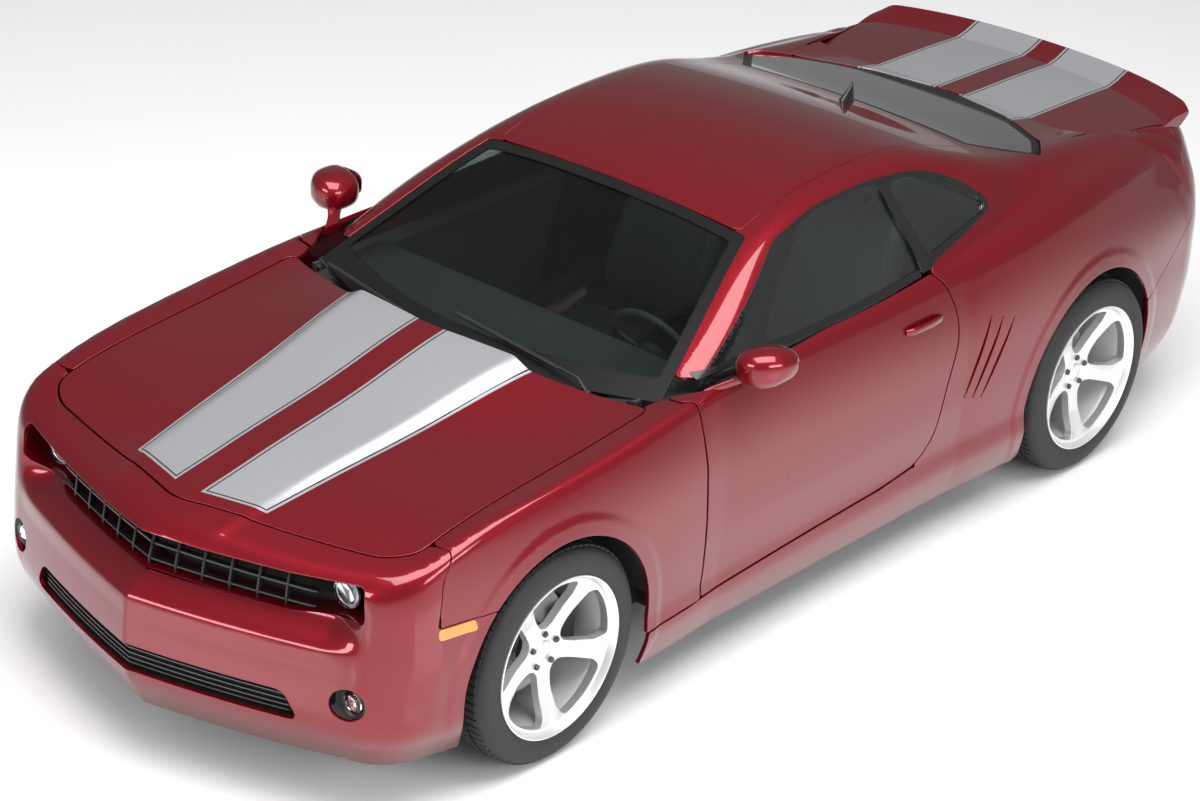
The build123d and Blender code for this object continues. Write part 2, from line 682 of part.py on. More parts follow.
# the antenna's fin from the side, x and z, and from behind, y and z
FIN_SIDE = [(-985, 1225), (-1040, 1262), (-1078, 1292), (-1096, 1290), (-1104, 1250), (-1106, 1205)]
FIN_REAR = [(-20, 1200), (-4, 1292), (4, 1292), (20, 1200)]


def antenna():
    fin = side_prism(FIN_SIDE, -40, 40) & front_prism(FIN_REAR, -1200, -900)
    return largest(fin - cabin)


# foot, elbow and tip of each wiper arm
WIPER_ROUTES = [
    ((968, 560, 962), (945, 500, 985), (930, -40, 1022)),
    ((1045, -60, 970), (1010, -120, 985), (905, -640, 985)),
]
wiper_radius = 6.0
wiper_pivot_radius = 12.0


# ---------------------------------------------------------------- wheels
rim_seat = 252.0
rim_well = 236.0
rim_lip = 3.0            # the lip stands proud of the tyre's wall
tyre_shoulder = 22.0
spoke_count = 5
hub_radius = 78.0
hub_depth = 52.0
lug_circle_radius = 57.0
lug_radius = 11.0
lug_height = 12.0
hub_face_inset = 3.0      # outboard of the wheel's middle plane
stub_radius = 30.0
running_clearance = 0.05
disc_radius = 178.0
disc_thickness = 28.0


def tyre(x, y, side, width):
    half = width / 2
    tread = half - tyre_shoulder
    profile = [(-half, rim_seat), (-half, tyre_radius - tyre_shoulder), (-tread, tyre_radius),
               (tread, tyre_radius), (half, tyre_radius - tyre_shoulder), (half, rim_seat)]
    return turned(profile, x, axle_z, y)


def rim(x, y, side, width):
    half = width / 2 * side
    lip = half + rim_lip * side
    barrel = turned([(-half, rim_seat), (-half, rim_well), (half - 8 * side, rim_well), (lip, rim_radius - 23),
                     (lip, rim_radius), (half, rim_radius), (half, rim_seat)], x, axle_z, y)
    low, high = sorted((y + hub_face_inset * side, y + hub_depth * side))
    hub = disc_y(x, axle_z, hub_radius, low, high)
    blade = spoke_blade(side, abs(half))
    spokes = [Pos(x, y, axle_z) * Rot(0, 90 + 360 / spoke_count * index, 0) * blade for index in range(spoke_count)]
    return barrel + hub + spokes + [lug_nut(x, y, side, index) for index in range(spoke_count)]


def spoke_blade(side, half):
    """One flat spoke along local x from the hub to the lip; y is outboard. One edge is scalloped."""
    outline = [(40, -30), (130, -26), (200, -34), (240, -60), (240, 42), (214, 30), (120, 27), (40, 30)]
    face = make_face(Wire.make_polygon([(along, 0, across) for along, across in outline], close=True))
    plate = extrude(face, half + 60, dir=(0, side, 0))
    depths = [(30, 20), (150, 34), (250, half - 60), (250, half - 18), (150, 74), (30, 48)]
    profile = make_face(Wire.make_polygon([(along, side * depth, -80) for along, depth in depths], close=True))
    return plate & extrude(profile, 160, dir=(0, 0, 1))


def lug_nut(x, y, side, index):
    """A hexagon nut on the hub's outer face, between two spokes' roots."""
    angle = radians(90 + 360 / spoke_count * index)
    centre = (x + lug_circle_radius * cos(angle), y + (hub_depth - 1) * side, axle_z + lug_circle_radius * sin(angle))
    plane = Plane(origin=centre, z_dir=(0, side, 0))
    return extrude(plane * RegularPolygon(lug_radius, 6), lug_height)


def brake_disc(x, y, side, width):
    """The hub with its ventilated disc, bored for the stub axle."""
    inner = y - 60 * side
    face = y + hub_face_inset * side
    hub = disc_y(x, axle_z, 72, *sorted((inner, face)))
    plate = disc_y(x, axle_z, disc_radius, *sorted((inner, inner + disc_thickness * side)))
    bore = disc_y(x, axle_z, stub_radius + running_clearance, *sorted((inner - 5 * side, face - 12 * side)))
    return hub + plate - bore


# ---------------------------------------------------------------- steering and suspension
kingpin_y = 726.0
kingpin_radius = 12.0
knuckle_low = 252.0
knuckle_high = 478.0


def caliper(x, y, side, angle):
    """A block over the disc's edge, local to the hub's inner face."""
    inner = y - 60 * side
    low, high = sorted((inner - 30 * side, inner + (disc_thickness + 26) * side))
    body = block(-62, 62, low, high, 118, 212)
    slot_low, slot_high = sorted((inner - 6 * side, inner + (disc_thickness + 6) * side))
    body -= block(-80, 80, slot_low, slot_high, 0, disc_radius + 8)
    return Pos(x, 0, axle_z) * Rot(0, angle, 0) * body


def knuckle(side=1):
    y = front_track / 2
    inner = y - 60
    upright = block(front_axle_x - 32, front_axle_x + 32, kingpin_y - 26, inner - 8, knuckle_low, knuckle_high)
    upright += disc_y(front_axle_x, axle_z, 60, kingpin_y - 26, inner - 8)
    upright += disc_y(front_axle_x, axle_z, stub_radius, inner - 9, y + hub_face_inset - 14)
    bracket = Pos(front_axle_x, 0, axle_z) * Rot(0, -90, 0) * block(-50, 50, kingpin_y - 20, inner - 8, 20, 150)
    upright += bracket + caliper(front_axle_x, y, 1, -90)
    bore = kingpin_radius + running_clearance
    upright -= rod((front_axle_x, kingpin_y, 200), (front_axle_x, kingpin_y, knuckle_low + 34), bore)
    upright -= rod((front_axle_x, kingpin_y, knuckle_high - 34), (front_axle_x, kingpin_y, 560), bore)
    return upright


def front_suspension():
    x = front_axle_x
    beam = block(x - 70, x + 70, -440, 440, 232, 300)
    left = rod((x, 420, 262), (x, kingpin_y, 226), 16)
    left += rod((x, kingpin_y, 208), (x, kingpin_y, knuckle_low - 1), 17)
    left += rod((x, kingpin_y, 240), (x, kingpin_y, knuckle_low + 30), kingpin_radius)
    left += rod((x, 380, 504), (x, kingpin_y, 500), 15)
    left += rod((x, kingpin_y, knuckle_high + 1), (x, kingpin_y, 516), 17)
    left += rod((x, kingpin_y, knuckle_high - 30), (x, kingpin_y, 500), kingpin_radius)
    left += block(x - 60, x + 60, 340, 400 - seam_gap, 232, 540)
    left += rod((x, 560, 240), (x, 545, 787), 34)
    rack = rod((x - 110, -430, 290), (x - 110, 430, 290), 24) + block(x - 110, x, -60, 60, 270, 300)
    mounts = block(x - 40, x + 40, 180, 240, 299, 329.7)
    return beam + left + mirrored(left) + rack + mounts + mirrored(mounts)


def rear_suspension():
    x = rear_axle_x
    y = rear_track / 2
    inner = y - 60
    cradle = block(x - 70, x + 70, -480, 480, 300, 350)
    housing = disc_y(x, axle_z, 105, -120, 120)
    left = block(x - 34, x + 34, inner - 56, inner - 8, 260, 470)
    left += disc_y(x, axle_z, stub_radius, inner - 9, y + hub_face_inset - 14)
    left += rod((x, 460, 320), (x, inner - 30, 285), 22)
    left += rod((x, 110, axle_z), (x, inner - 30, axle_z), 20)
    left += rod((x, 530, 300), (x, 530, 479.7), 34)
    left += Pos(x, 0, axle_z) * Rot(0, 90, 0) * block(-50, 50, inner - 40, inner - 8, 20, 150)
    left += caliper(x, y, 1, 90)
    return cradle + housing + left + mirrored(left)


exhaust_y = 520.0
exhaust_z = 250.0
exhaust_radius = 42.0


def engine_block():
    return block(950, 1620, -280, 280, 330, 830)


def exhaust():
    pipe = rod((1020, 190, 215), (-1800, 190, 215), 28) + rod((1020, 190, 215), (1020, 190, 329.7), 28)
    muffler = block(-2080, -1790, 130, 560, 190, 300)
    tip = rod((-2070, exhaust_y, exhaust_z), (-2405, exhaust_y, exhaust_z), exhaust_radius)
    return both_sides(pipe + muffler + tip)


# ---------------------------------------------------------------- floor and engine bay
floor_z = 250.0
floor_wall = 18.0
tunnel_half_width = 120.0
tunnel_top = 400.0


def floor_pan():
    """The cabin floor with its centre tunnel."""
    floor = block(-900 + seam_gap, 882 - seam_gap, -900, 900, floor_z, floor_z + floor_wall)
    tunnel = block(-881.7, 881.7, -tunnel_half_width, tunnel_half_width, floor_z, tunnel_top)
    floor += tunnel - block(-950, 950, 15 - tunnel_half_width, tunnel_half_width - 15, 0, tunnel_top - 15)
    return floor & body_form(sill_wall + seam_gap)


def firewall():
    """The wall between engine bay and cabin, with the hood's hinge brackets."""
    wall = block(882, 900, -741.7, 741.7, floor_z, 925) & body_form(sill_wall + seam_gap)
    wall += block(882, 900, -660, 660, 925, cowl_top - cowl_wall - seam_gap)
    bracket = block(882, 911, hood_arm_y + 6 + seam_gap, hood_arm_y + 20, 840, hood_hinge_z + 14)
    bracket += disc_y(hood_hinge_x, hood_hinge_z, hinge_pin_radius, hood_arm_y - 6, hood_arm_y + 20)
    return wall + bracket + mirrored(bracket)


def front_rails():
    """The engine bay's rails and front member, with the front wheelhouses."""
    rails = block(900, 2140, 400, 462, 380, 460) + block(900, 1960, 462, 474, 380, 800)
    rails -= block(front_axle_x - 70, front_axle_x + 70, 461, 476, 462, 560)
    rails += block(2110, 2140, 0, 600, 330, 610)
    house = tube_y(front_axle_x, 440, 428, 474, 1000) - block(0, 2400, 0, far, 0, 420)
    side = rails + (house & body_form(skin + seam_gap))
    return side + mirrored(side)


def trunk_floor():
    """The floor behind the cabin with the rear wheelhouses and the lid's hinge brackets."""
    trunk = block(-2150, -890, -600, 600, 480, 480 + floor_wall) + block(-900, -882, -800, 800, floor_z + floor_wall + seam_gap, 497)
    trunk += block(-1345, -1330, -560, 560, 498, 965) + block(-1600, -1330, -560, 560, 945, 960)
    trunk -= both_sides(block(-1610, -1320, lid_arm_y - 16, lid_arm_y + 16, 880, 1000))
    house = tube_y(rear_axle_x, 436, 426, 600, 1000) + disc_y(rear_axle_x, axle_z, 436, 588, 600)
    house -= block(-2400, 0, 0, far, 0, 420)
    side = house & body_form(skin + seam_gap)
    side += block(-1360, -1325, lid_arm_y + 8 + seam_gap, lid_arm_y + 20, 940, lid_hinge_z + 14)
    side += disc_y(lid_hinge_x, lid_hinge_z, hinge_pin_radius, lid_arm_y - 8, lid_arm_y + 20)
    return trunk + side + mirrored(side)


def tube_y(x, outer_radius, inner_radius, y_low, y_high):
    return disc_y(x, axle_z, outer_radius, y_low, y_high) - disc_y(x, axle_z, inner_radius, y_low - 1, y_high + 1)


# ---------------------------------------------------------------- cabin
driver_y = 370.0
wheel_tilt = 24.0
wheel_centre = (395.0, driver_y, 845.0)
wheel_rim_radius = 178.0
wheel_grip_radius = 15.0


def seat(y):
    cushion = side_prism([(-20, 300), (-20, 470), (-480, 430), (-500, 300)], y - 250, y + 250)
    back = side_prism([(-430, 430), (-640, 1090), (-760, 1080), (-560, 400)], y - 250, y + 250)
    head = side_prism([(-650, 1088), (-672, 1190), (-760, 1190), (-745, 1080)], y - 130, y + 130)
    base = block(-460, -60, y - 200, y + 200, floor_z + 18, 301)
    return cushion + back + head + base


def front_seats():
    return Compound(children=[*seat(driver_y).solids(), *seat(-driver_y).solids()])


def rear_seat():
    cushion = side_prism([(-880, 498.3), (-890, 600), (-1180, 580), (-1180, 498.3)], -560, 560)
    back = side_prism([(-1175, 580), (-1260, 930), (-1329.5, 930), (-1329.5, 498.3), (-1175, 498.3)], -560, 560)
    return cushion + back


def column_point(distance):
    """A point on the steering column, ahead of the wheel's centre."""
    x, y, z = wheel_centre
    return x + distance * cos(radians(wheel_tilt)), y, z - distance * sin(radians(wheel_tilt))


def dashboard():
    form = side_prism([(880, 560), (880, 900), (560, 935), (500, 900), (480, 700), (620, 560)], -780, 780)
    console = block(-450, 700, -110, 110, 400, 560)
    form &= block(400, 881.5, -735, 735, 500, 950)
    collar = rod(column_point(96), column_point(140), 24)
    return largest(form - cabin) + console + collar


def steering_wheel():
    axis = Vector(-cos(radians(wheel_tilt)), 0, sin(radians(wheel_tilt)))
    plane = Plane(origin=wheel_centre, z_dir=axis)
    section = Plane(origin=(wheel_rim_radius, 0, 0), z_dir=(0, 1, 0)) * RegularPolygon(wheel_grip_radius, 8)
    ring = plane * revolve(section, Axis.Z, 360)
    hub = plane * Pos(0, 0, -14) * Cylinder(55, 50)
    spokes = plane * Pos(0, 0, -6) * Box(340, 34, 14)
    column = rod(column_point(30), column_point(96 - seam_gap), 16)
    return ring + hub + spokes + column


# ---------------------------------------------------------------- nodes
nodes = {
    "floor_pan": floor_pan,
    "firewall": firewall,
    "front_rails": front_rails,
    "trunk_floor": trunk_floor,
    "hood": hood_panel,
    "roof_panel": roof_panel,
    "windscreen": windscreen,
    "rear_glass": rear_glass,
    "rear_deck": rear_deck,
    "trunk_lid": trunk_lid,
    "spoiler": spoiler,
    "front_bumper": front_bumper,
    "rear_bumper": rear_bumper,
    "upper_grille": upper_grille,
    "lower_grille": lower_grille,
    "headlamps": headlamps,
    "fog_lamps": fog_lamps,
    "tail_lamps": tail_lamps,
    "cowl": cowl,
    "antenna": antenna,
    "side_markers": side_markers,
    "wipers": wipers,
    "engine_block": engine_block,
    "exhaust": exhaust,
    "front_suspension": front_suspension,
    "rear_suspension": rear_suspension,
    "front_seats": front_seats,
    "rear_seat": rear_seat,
    "dashboard": dashboard,
    "steering_wheel": steering_wheel,
}
# pieces made for the left and mirrored for the right
sided_nodes = {
    "side_body": side_body,
    "fender": fender,
    "door": door,
    "door_glass": door_glass,
    "quarter_glass": quarter_glass,
    "mirror": mirror_housing,
    "handle": door_handle,
    "knuckle": knuckle,
}
# wheel corner: x, y, side, tyre width
corners = {
    "fl": (front_axle_x, front_track / 2, 1, front_tyre_width),
    "fr": (front_axle_x, -front_track / 2, -1, front_tyre_width),
    "rl": (rear_axle_x, rear_track / 2, 1, rear_tyre_width),
    "rr": (rear_axle_x, -rear_track / 2, -1, rear_tyre_width),
}
wheel_nodes = {"tyre": tyre, "rim": rim, "brake_disc": brake_disc}


def write(name, shape):
    export_step(shape, f"parts/{name}.step")


for name, make in nodes.items():
    write(name, make())
for name, make in sided_nodes.items():
    left = make()
    write(f"{name}_left", left)
    write(f"{name}_right", mirrored(left))
for corner, (x, y, side, width) in corners.items():
    for name, make in wheel_nodes.items():
        write(f"{name}_{corner}", make(x, y, side, width))
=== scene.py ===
import bpy
import bmesh
import math
import numpy as np
from mathutils import Matrix, Vector
from mathutils.geometry import delaunay_2d_cdt


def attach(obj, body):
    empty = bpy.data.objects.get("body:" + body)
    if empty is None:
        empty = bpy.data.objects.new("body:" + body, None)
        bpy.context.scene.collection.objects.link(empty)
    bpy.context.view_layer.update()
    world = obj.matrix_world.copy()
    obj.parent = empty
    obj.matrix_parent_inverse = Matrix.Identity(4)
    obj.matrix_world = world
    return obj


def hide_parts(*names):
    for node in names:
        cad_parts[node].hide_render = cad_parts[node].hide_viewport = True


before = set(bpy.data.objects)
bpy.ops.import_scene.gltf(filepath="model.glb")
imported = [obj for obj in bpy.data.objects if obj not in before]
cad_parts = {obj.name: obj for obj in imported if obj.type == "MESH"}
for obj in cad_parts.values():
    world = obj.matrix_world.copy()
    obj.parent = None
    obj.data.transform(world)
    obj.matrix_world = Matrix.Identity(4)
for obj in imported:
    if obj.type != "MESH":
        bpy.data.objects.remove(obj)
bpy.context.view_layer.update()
mm = 0.001
# where the wheels stand, as in the frame
axleFront = 1.471
axleRear = -1.381
axleHeight = 0.364
halfTrackFront = 0.809
halfTrackRear = 0.814

# the body's form: plan outlines by height, and crowned sections along the car, in mm
bodyForm = {
    # z, nose x, corner start x y, corner end x y, wing y, waist y, haunch y,
    # tail start x y, tail end x y, tail x
    "outlines": [
        (150, 2318, 2110, 650, 1945, 805, 868, 868, 872, -2010, 790, -2190, 600, -2265),
        (285, 2396, 2185, 705, 1985, 878, 922, 905, 926, -2035, 850, -2280, 650, -2380),
        (400, 2412, 2192, 722, 1980, 892, 932, 915, 940, -2045, 868, -2305, 670, -2400),
        (510, 2406, 2180, 728, 1975, 902, 937, 925, 947, -2050, 878, -2320, 680, -2408),
        (640, 2384, 2165, 738, 1963, 900, 938, 926, 950, -2050, 876, -2318, 686, -2410),
        (760, 2350, 2148, 745, 1950, 893, 933, 920, 946, -2045, 868, -2312, 690, -2402),
        (960, 2262, 2070, 715, 1895, 850, 884, 876, 900, -2010, 790, -2290, 660, -2380),
        (1130, 2150, 1980, 690, 1820, 790, 828, 822, 842, -1975, 705, -2265, 600, -2350),
    ],
    # x, centre z, bulge edge y z, bulge foot y z, hood edge y z, crest y z, outer z at the half width
    "crowns": [
        (2470, 704, 150, 700, 200, 696, 700, 600, 860, 540, 470),
        (2345, 776, 190, 770, 240, 764, 720, 706, 860, 660, 610),
        (2200, 836, 220, 828, 270, 820, 740, 778, 870, 758, 732),
        (2040, 868, 240, 862, 290, 851, 755, 836, 880, 834, 820),
        (1880, 897, 255, 893, 305, 877, 765, 878, 890, 886, 872),
        (1471, 966, 290, 963, 350, 938, 765, 925, 890, 938, 915),
        (1080, 1046, 320, 1041, 400, 1004, 755, 958, 880, 968, 945),
        (800, 1056, 330, 1050, 420, 1020, 745, 985, 870, 990, 965),
        (300, 1020, 330, 1018, 430, 1012, 740, 1004, 870, 1000, 975),
        (-400, 1030, 330, 1030, 430, 1028, 740, 1024, 870, 1018, 990),
        (-900, 1068, 330, 1066, 520, 1062, 760, 1056, 880, 1052, 1012),
        (-1381, 1098, 330, 1096, 600, 1090, 770, 1084, 880, 1082, 1030),
        (-1750, 1090, 330, 1088, 610, 1086, 760, 1084, 860, 1080, 1024),
        (-2100, 1080, 330, 1078, 610, 1075, 730, 1070, 820, 1062, 1004),
        (-2460, 1060, 330, 1058, 600, 1050, 690, 1036, 780, 1030, 975),
    ],
    # the glasshouse: half width at each station and height, then the roof's centre and its fall at y = 500
    "stations": (1200, 800, 200, -400, -900, -1340, -1900),
    "widths": [
        (930, 800, 812, 868, 868, 838, 770, 660),
        (1110, 715, 722, 752, 770, 768, 700, 600),
        (1260, 610, 618, 632, 640, 640, 610, 520),
        (1340, 520, 530, 560, 575, 570, 540, 440),
        (1430, 330, 345, 400, 420, 415, 380, 300),
    ],
    "roof": [
        (1120, 921, 45), (800, 1049, 38), (500, 1170, 26), (215, 1284, 15), (-20, 1348, 17), (-350, 1386, 22),
        (-700, 1344, 20), (-1055, 1233, 13), (-1400, 1158, 10), (-1720, 1096, 8), (-1950, 1050, 8),
    ],
    "frontCrest": 0.030,      # how round the crest is, at the wing and at the haunch
    "haunchCrest": 0.075,
    "railRound": 0.050,
    "pillarFlow": 0.13,       # how softly the rear pillar runs into the haunch
}


# Cubic curves through the rows of values, one row for each knot.
def naturalSpline(knots, values, at):
    knots, values = np.asarray(knots, float), np.asarray(values, float)
    n, h = len(knots), np.diff(knots)
    system, right = np.eye(n), np.zeros_like(values)
    for i in range(1, n - 1):
        system[i, i - 1:i + 2] = h[i - 1], 2 * (h[i - 1] + h[i]), h[i]
        right[i] = 6 * ((values[i + 1] - values[i]) / h[i] - (values[i] - values[i - 1]) / h[i - 1])
    bend = np.linalg.solve(system, right.reshape(n, -1)).reshape(values.shape)
    at = np.asarray(at, float)
    i = np.clip(np.searchsorted(knots, at) - 1, 0, n - 2)
    shape = (-1,) + (1,) * (values.ndim - 1)
    gap = h[i].reshape(shape)
    a = (knots[i + 1] - at).reshape(shape) / gap
    b = 1 - a
    inside = ((at >= knots[0]) & (at <= knots[-1])).reshape(shape)
    curve = (a ** 3 - a) * bend[i] + (b ** 3 - b) * bend[i + 1]
    return a * values[i] + b * values[i + 1] + np.where(inside, curve, 0) * gap ** 2 / 6


# A curve through each row of values without overshoot; knots differ by row.
def monotone(knots, values, at):
    h = np.diff(knots, axis=1)
    slope = np.diff(values, axis=1) / h
    inner = np.where(slope[:, :-1] * slope[:, 1:] > 0,
                     2 * slope[:, :-1] * slope[:, 1:] / (slope[:, :-1] + slope[:, 1:] + 1e-12), 0)
    tangent = np.concatenate([slope[:, :1] * 0, inner, slope[:, -1:]], axis=1)
    out = np.empty((len(knots), len(at)))
    for r in range(len(knots)):
        i = np.clip(np.searchsorted(knots[r], at) - 1, 0, h.shape[1] - 1)
        t = (at - knots[r, i]) / h[r, i]
        out[r] = ((1 + 2 * t) * (1 - t) ** 2 * values[r, i] + t * (1 - t) ** 2 * h[r, i] * tangent[r, i]
                  + t * t * (3 - 2 * t) * values[r, i + 1] + t * t * (t - 1) * h[r, i] * tangent[r, i + 1])
    return out


# A table of values on an even grid, read between its points.
class Lookup:
    def __init__(self, rows, columns, values):
        self.rows, self.columns, self.values = rows, columns, values

    def __call__(self, row, column):
        r = (row - self.rows[0]) / (self.rows[1] - self.rows[0])
        c = (column - self.columns[0]) / (self.columns[1] - self.columns[0])
        r = np.clip(r, 0, len(self.rows) - 1.001)
        c = np.clip(c, 0, len(self.columns) - 1.001)
        i, j = r.astype(int), c.astype(int)
        u, v, t = r - i, c - j, self.values
        return (t[i, j] * (1 - u) * (1 - v) + t[i + 1, j] * u * (1 - v)
                + t[i, j + 1] * (1 - u) * v + t[i + 1, j + 1] * u * v)


# Points along the circle through three points of the plan.
def arcPoints(a, m, b, count):
    ax, ay, bx, by, mx, my = *a, *b, *m
    d = 2 * (ax * (my - by) + mx * (by - ay) + bx * (ay - my))
    if abs(d) < 1e-9:
        t = np.linspace(0, 1, count)[:, None]
        return np.array(a) * (1 - t) + np.array(b) * t
    sa, sm, sb = ax * ax + ay * ay, mx * mx + my * my, bx * bx + by * by
    cx = (sa * (my - by) + sm * (by - ay) + sb * (ay - my)) / d
    cy = (sa * (bx - mx) + sm * (ax - bx) + sb * (mx - ax)) / d
    start, middle, end = (math.atan2(y - cy, x - cx) for x, y in (a, m, b))
    turn = (end - start) % (2 * math.pi)
    if (middle - start) % (2 * math.pi) > turn:
        turn -= 2 * math.pi
    angle = start + turn * np.linspace(0, 1, count)
    radius = math.hypot(ax - cx, ay - cy)
    return np.stack([cx + radius * np.cos(angle), cy + radius * np.sin(angle)], axis=1)


def bowed(a, b, bow):
    dx, dy = b[0] - a[0], b[1] - a[1]
    span = math.hypot(dx, dy)
    return (a[0] + b[0]) / 2 - dy / span * bow, (a[1] + b[1]) / 2 + dx / span * bow


# The left half of one plan outline, nose to tail, as bearing and distance from the centre.
def planHalf(row):
    nose, x1, y1, x2, y2, wing, waist, haunch, x3, y3, x4, y4, tail = row[1:]
    chain = [
        ((nose, 0), None, -16, (x1, y1)), ((x1, y1), None, -38, (x2, y2)),
        ((x2, y2), (1471, wing), 0, (700, (wing + 3 * waist) / 4)),
        ((700, (wing + 3 * waist) / 4), (150, waist), 0, (-600, (2 * waist + haunch) / 3)),
        ((-600, (2 * waist + haunch) / 3), (-1381, haunch), 0, (x3, y3)),
        ((x3, y3), None, -42, (x4, y4)), ((x4, y4), None, -18, (tail, 0)),
    ]
    points = np.concatenate([arcPoints(a, m or bowed(a, b, bow), b, 90)[:-1] for a, m, bow, b in chain]
                            + [[(tail, 0)]]) * mm
    return np.arctan2(points[:, 1], points[:, 0]), np.hypot(points[:, 0], points[:, 1])


# The tables that the body's surface is read from.
def buildForm():
    bearings = np.linspace(0, math.pi, 2401)
    heights = np.arange(0.10, 1.42, 0.005)
    rows = []
    for row in bodyForm["outlines"]:
        bearing, distance = planHalf(row)
        rows.append(np.interp(bearings, bearing, distance))
    levels = [row[0] * mm for row in bodyForm["outlines"]]
    reach = naturalSpline(levels, rows, heights)
    slope = np.gradient(reach, bearings[1], axis=1) / reach
    along = np.arange(-2.50, 2.501, 0.010)
    across = np.arange(0, 1.101, 0.005)
    crowns = np.array(bodyForm["crowns"][::-1], float) * mm
    columns = naturalSpline(crowns[:, 0], crowns[:, 1:], along)
    knots = np.stack([columns[:, 0] * 0, *columns[:, [1, 3, 5, 7]].T, columns[:, 0] * 0 + 1.05], axis=1)
    values = columns[:, [0, 2, 4, 6, 8, 9]]
    top = monotone(knots, values, across)
    gx, gy = np.gradient(top, along[1] - along[0], across[1])
    stations = np.array(bodyForm["stations"][::-1], float) * mm
    widths = np.array([row[1:][::-1] for row in bodyForm["widths"]], float) * mm
    cabinHeights = np.arange(0.86, 1.46, 0.005)
    wide = naturalSpline(stations, widths.T, along)
    wide = naturalSpline([row[0] * mm for row in bodyForm["widths"]], wide.T, cabinHeights).T
    wx, wz = np.gradient(wide, along[1] - along[0], cabinHeights[1] - cabinHeights[0])
    roof = np.array(bodyForm["roof"][::-1], float) * mm
    ridge = naturalSpline(roof[:, 0], roof[:, 1:], along)
    ridge = ridge[:, :1] - ridge[:, 1:] * (across[None, :] / 0.5) ** 2
    rx, ry = np.gradient(ridge, along[1] - along[0], across[1])
    return {
        "reach": Lookup(heights, bearings, reach),
        "reachScale": Lookup(heights, bearings, 1 / np.hypot(1, slope)),
        "top": Lookup(along, across, top),
        "topScale": Lookup(along, across, 1 / np.sqrt(1 + gx ** 2 + gy ** 2)),
        "wide": Lookup(along, cabinHeights, wide),
        "wideScale": Lookup(along, cabinHeights, 1 / np.sqrt(1 + wx ** 2 + wz ** 2)),
        "roof": Lookup(along, across, ridge),
        "roofScale": Lookup(along, across, 1 / np.sqrt(1 + rx ** 2 + ry ** 2)),
    }


form = buildForm()


# The larger of two distances, with the edge between them rounded.
def softMax(a, b, k):
    h = np.maximum(k - np.abs(a - b), 0) / k
    return np.maximum(a, b) + h * h * k / 4


def ease(low, high, value):
    t = np.clip((value - low) / (high - low), 0, 1)
    return t * t * (3 - 2 * t)


def lowerBody(p):
    x, y, z = p[:, 0], np.abs(p[:, 1]), p[:, 2]
    bearing = np.arctan2(y, x)
    side = (np.hypot(x, y) - form["reach"](z, bearing)) * form["reachScale"](z, bearing)
    top = (z - form["top"](x, y)) * form["topScale"](x, y)
    crest = bodyForm["frontCrest"] + (bodyForm["haunchCrest"] - bodyForm["frontCrest"]) * ease(0.9, -1.2, x)
    return softMax(side, top, crest + 0.02 * ease(1.95, 2.25, x))


def glasshouse(p):
    x, y, z = p[:, 0], np.abs(p[:, 1]), p[:, 2]
    sides = (y - form["wide"](x, z)) * form["wideScale"](x, z)
    roof = (z - form["roof"](x, y)) * form["roofScale"](x, y)
    foot = np.where(y > 0.79, 0.975, 0.92) - z
    return np.maximum(softMax(sides, roof, bodyForm["railRound"]), np.maximum(foot, x - 1.22))


# The whole outer skin: the lower body with the glasshouse grown out of it.
def carBody(p):
    y = np.abs(p[:, 1])
    soft = ease(0.85, 1.35, -p[:, 0]) * ease(0.45, 0.66, y) * ease(2.1, 1.8, -p[:, 0])
    flow = 0.012 + (bodyForm["pillarFlow"] - 0.012) * soft
    return -softMax(-lowerBody(p), -glasshouse(p), flow)


# How far the panels' fine detail stands out of the plain form.
def relief(p):
    x, y, z = p[:, 0], np.abs(p[:, 1]), p[:, 2]
    out = np.zeros(len(p))
    for centre, radius in zip((axleFront, axleRear), places["archRadii"]):
        beyond = np.hypot(x - centre, z - axleHeight) - radius
        lip = ease(0.075, 0.040, beyond) * ease(0.6, 0.75, y)
        out += lip * (detail["archLip"] + 0.05 * np.clip(0.03 - beyond, 0, 0.03))
    ahead = ease(1.98, 2.12, x) * ease(0.78, 0.62, y)
    out -= detail["shelf"] * ease(0.56, 0.66, z) * ease(0.77, 0.69, z) * ahead
    out += 0.005 * ease(0.50, 0.56, z) * ease(0.62, 0.57, z) * ahead
    low = ease(0.05, -0.05, z - detail["sillLine"] - 0.02 * ease(1.2, -0.9, x))
    out += detail["sillStep"] * low * ease(1.25, 1.05, x) * ease(-1.15, -0.95, x) * ease(0.6, 0.75, y)
    return out


gills = {
    "count": 3,
    "top": (-721, 818),       # x and z of the first slot's ends, in mm, and the step to the next slot
    "topStep": (-62, -19),
    "low": (-600, 545),
    "lowStep": (-47, -14),
}


# Distance outside the slanted grooves ahead of the rear wheel.
def gillSlots(p):
    x, z = p[:, 0], p[:, 2]
    nearest = np.full(len(p), 1.0)
    for index in range(gills["count"]):
        top = (np.array(gills["top"]) + index * np.array(gills["topStep"])) * mm
        low = (np.array(gills["low"]) + index * np.array(gills["lowStep"])) * mm
        run = low - top
        along = np.clip(((x - top[0]) * run[0] + (z - top[1]) * run[1]) / (run @ run), 0, 1)
        off = np.hypot(x - top[0] - run[0] * along, z - top[1] - run[1] * along)
        nearest = np.minimum(nearest, off - detail["gillWidth"] / 2 * (0.35 + 0.65 * np.sin(math.pi * along)))
    return nearest


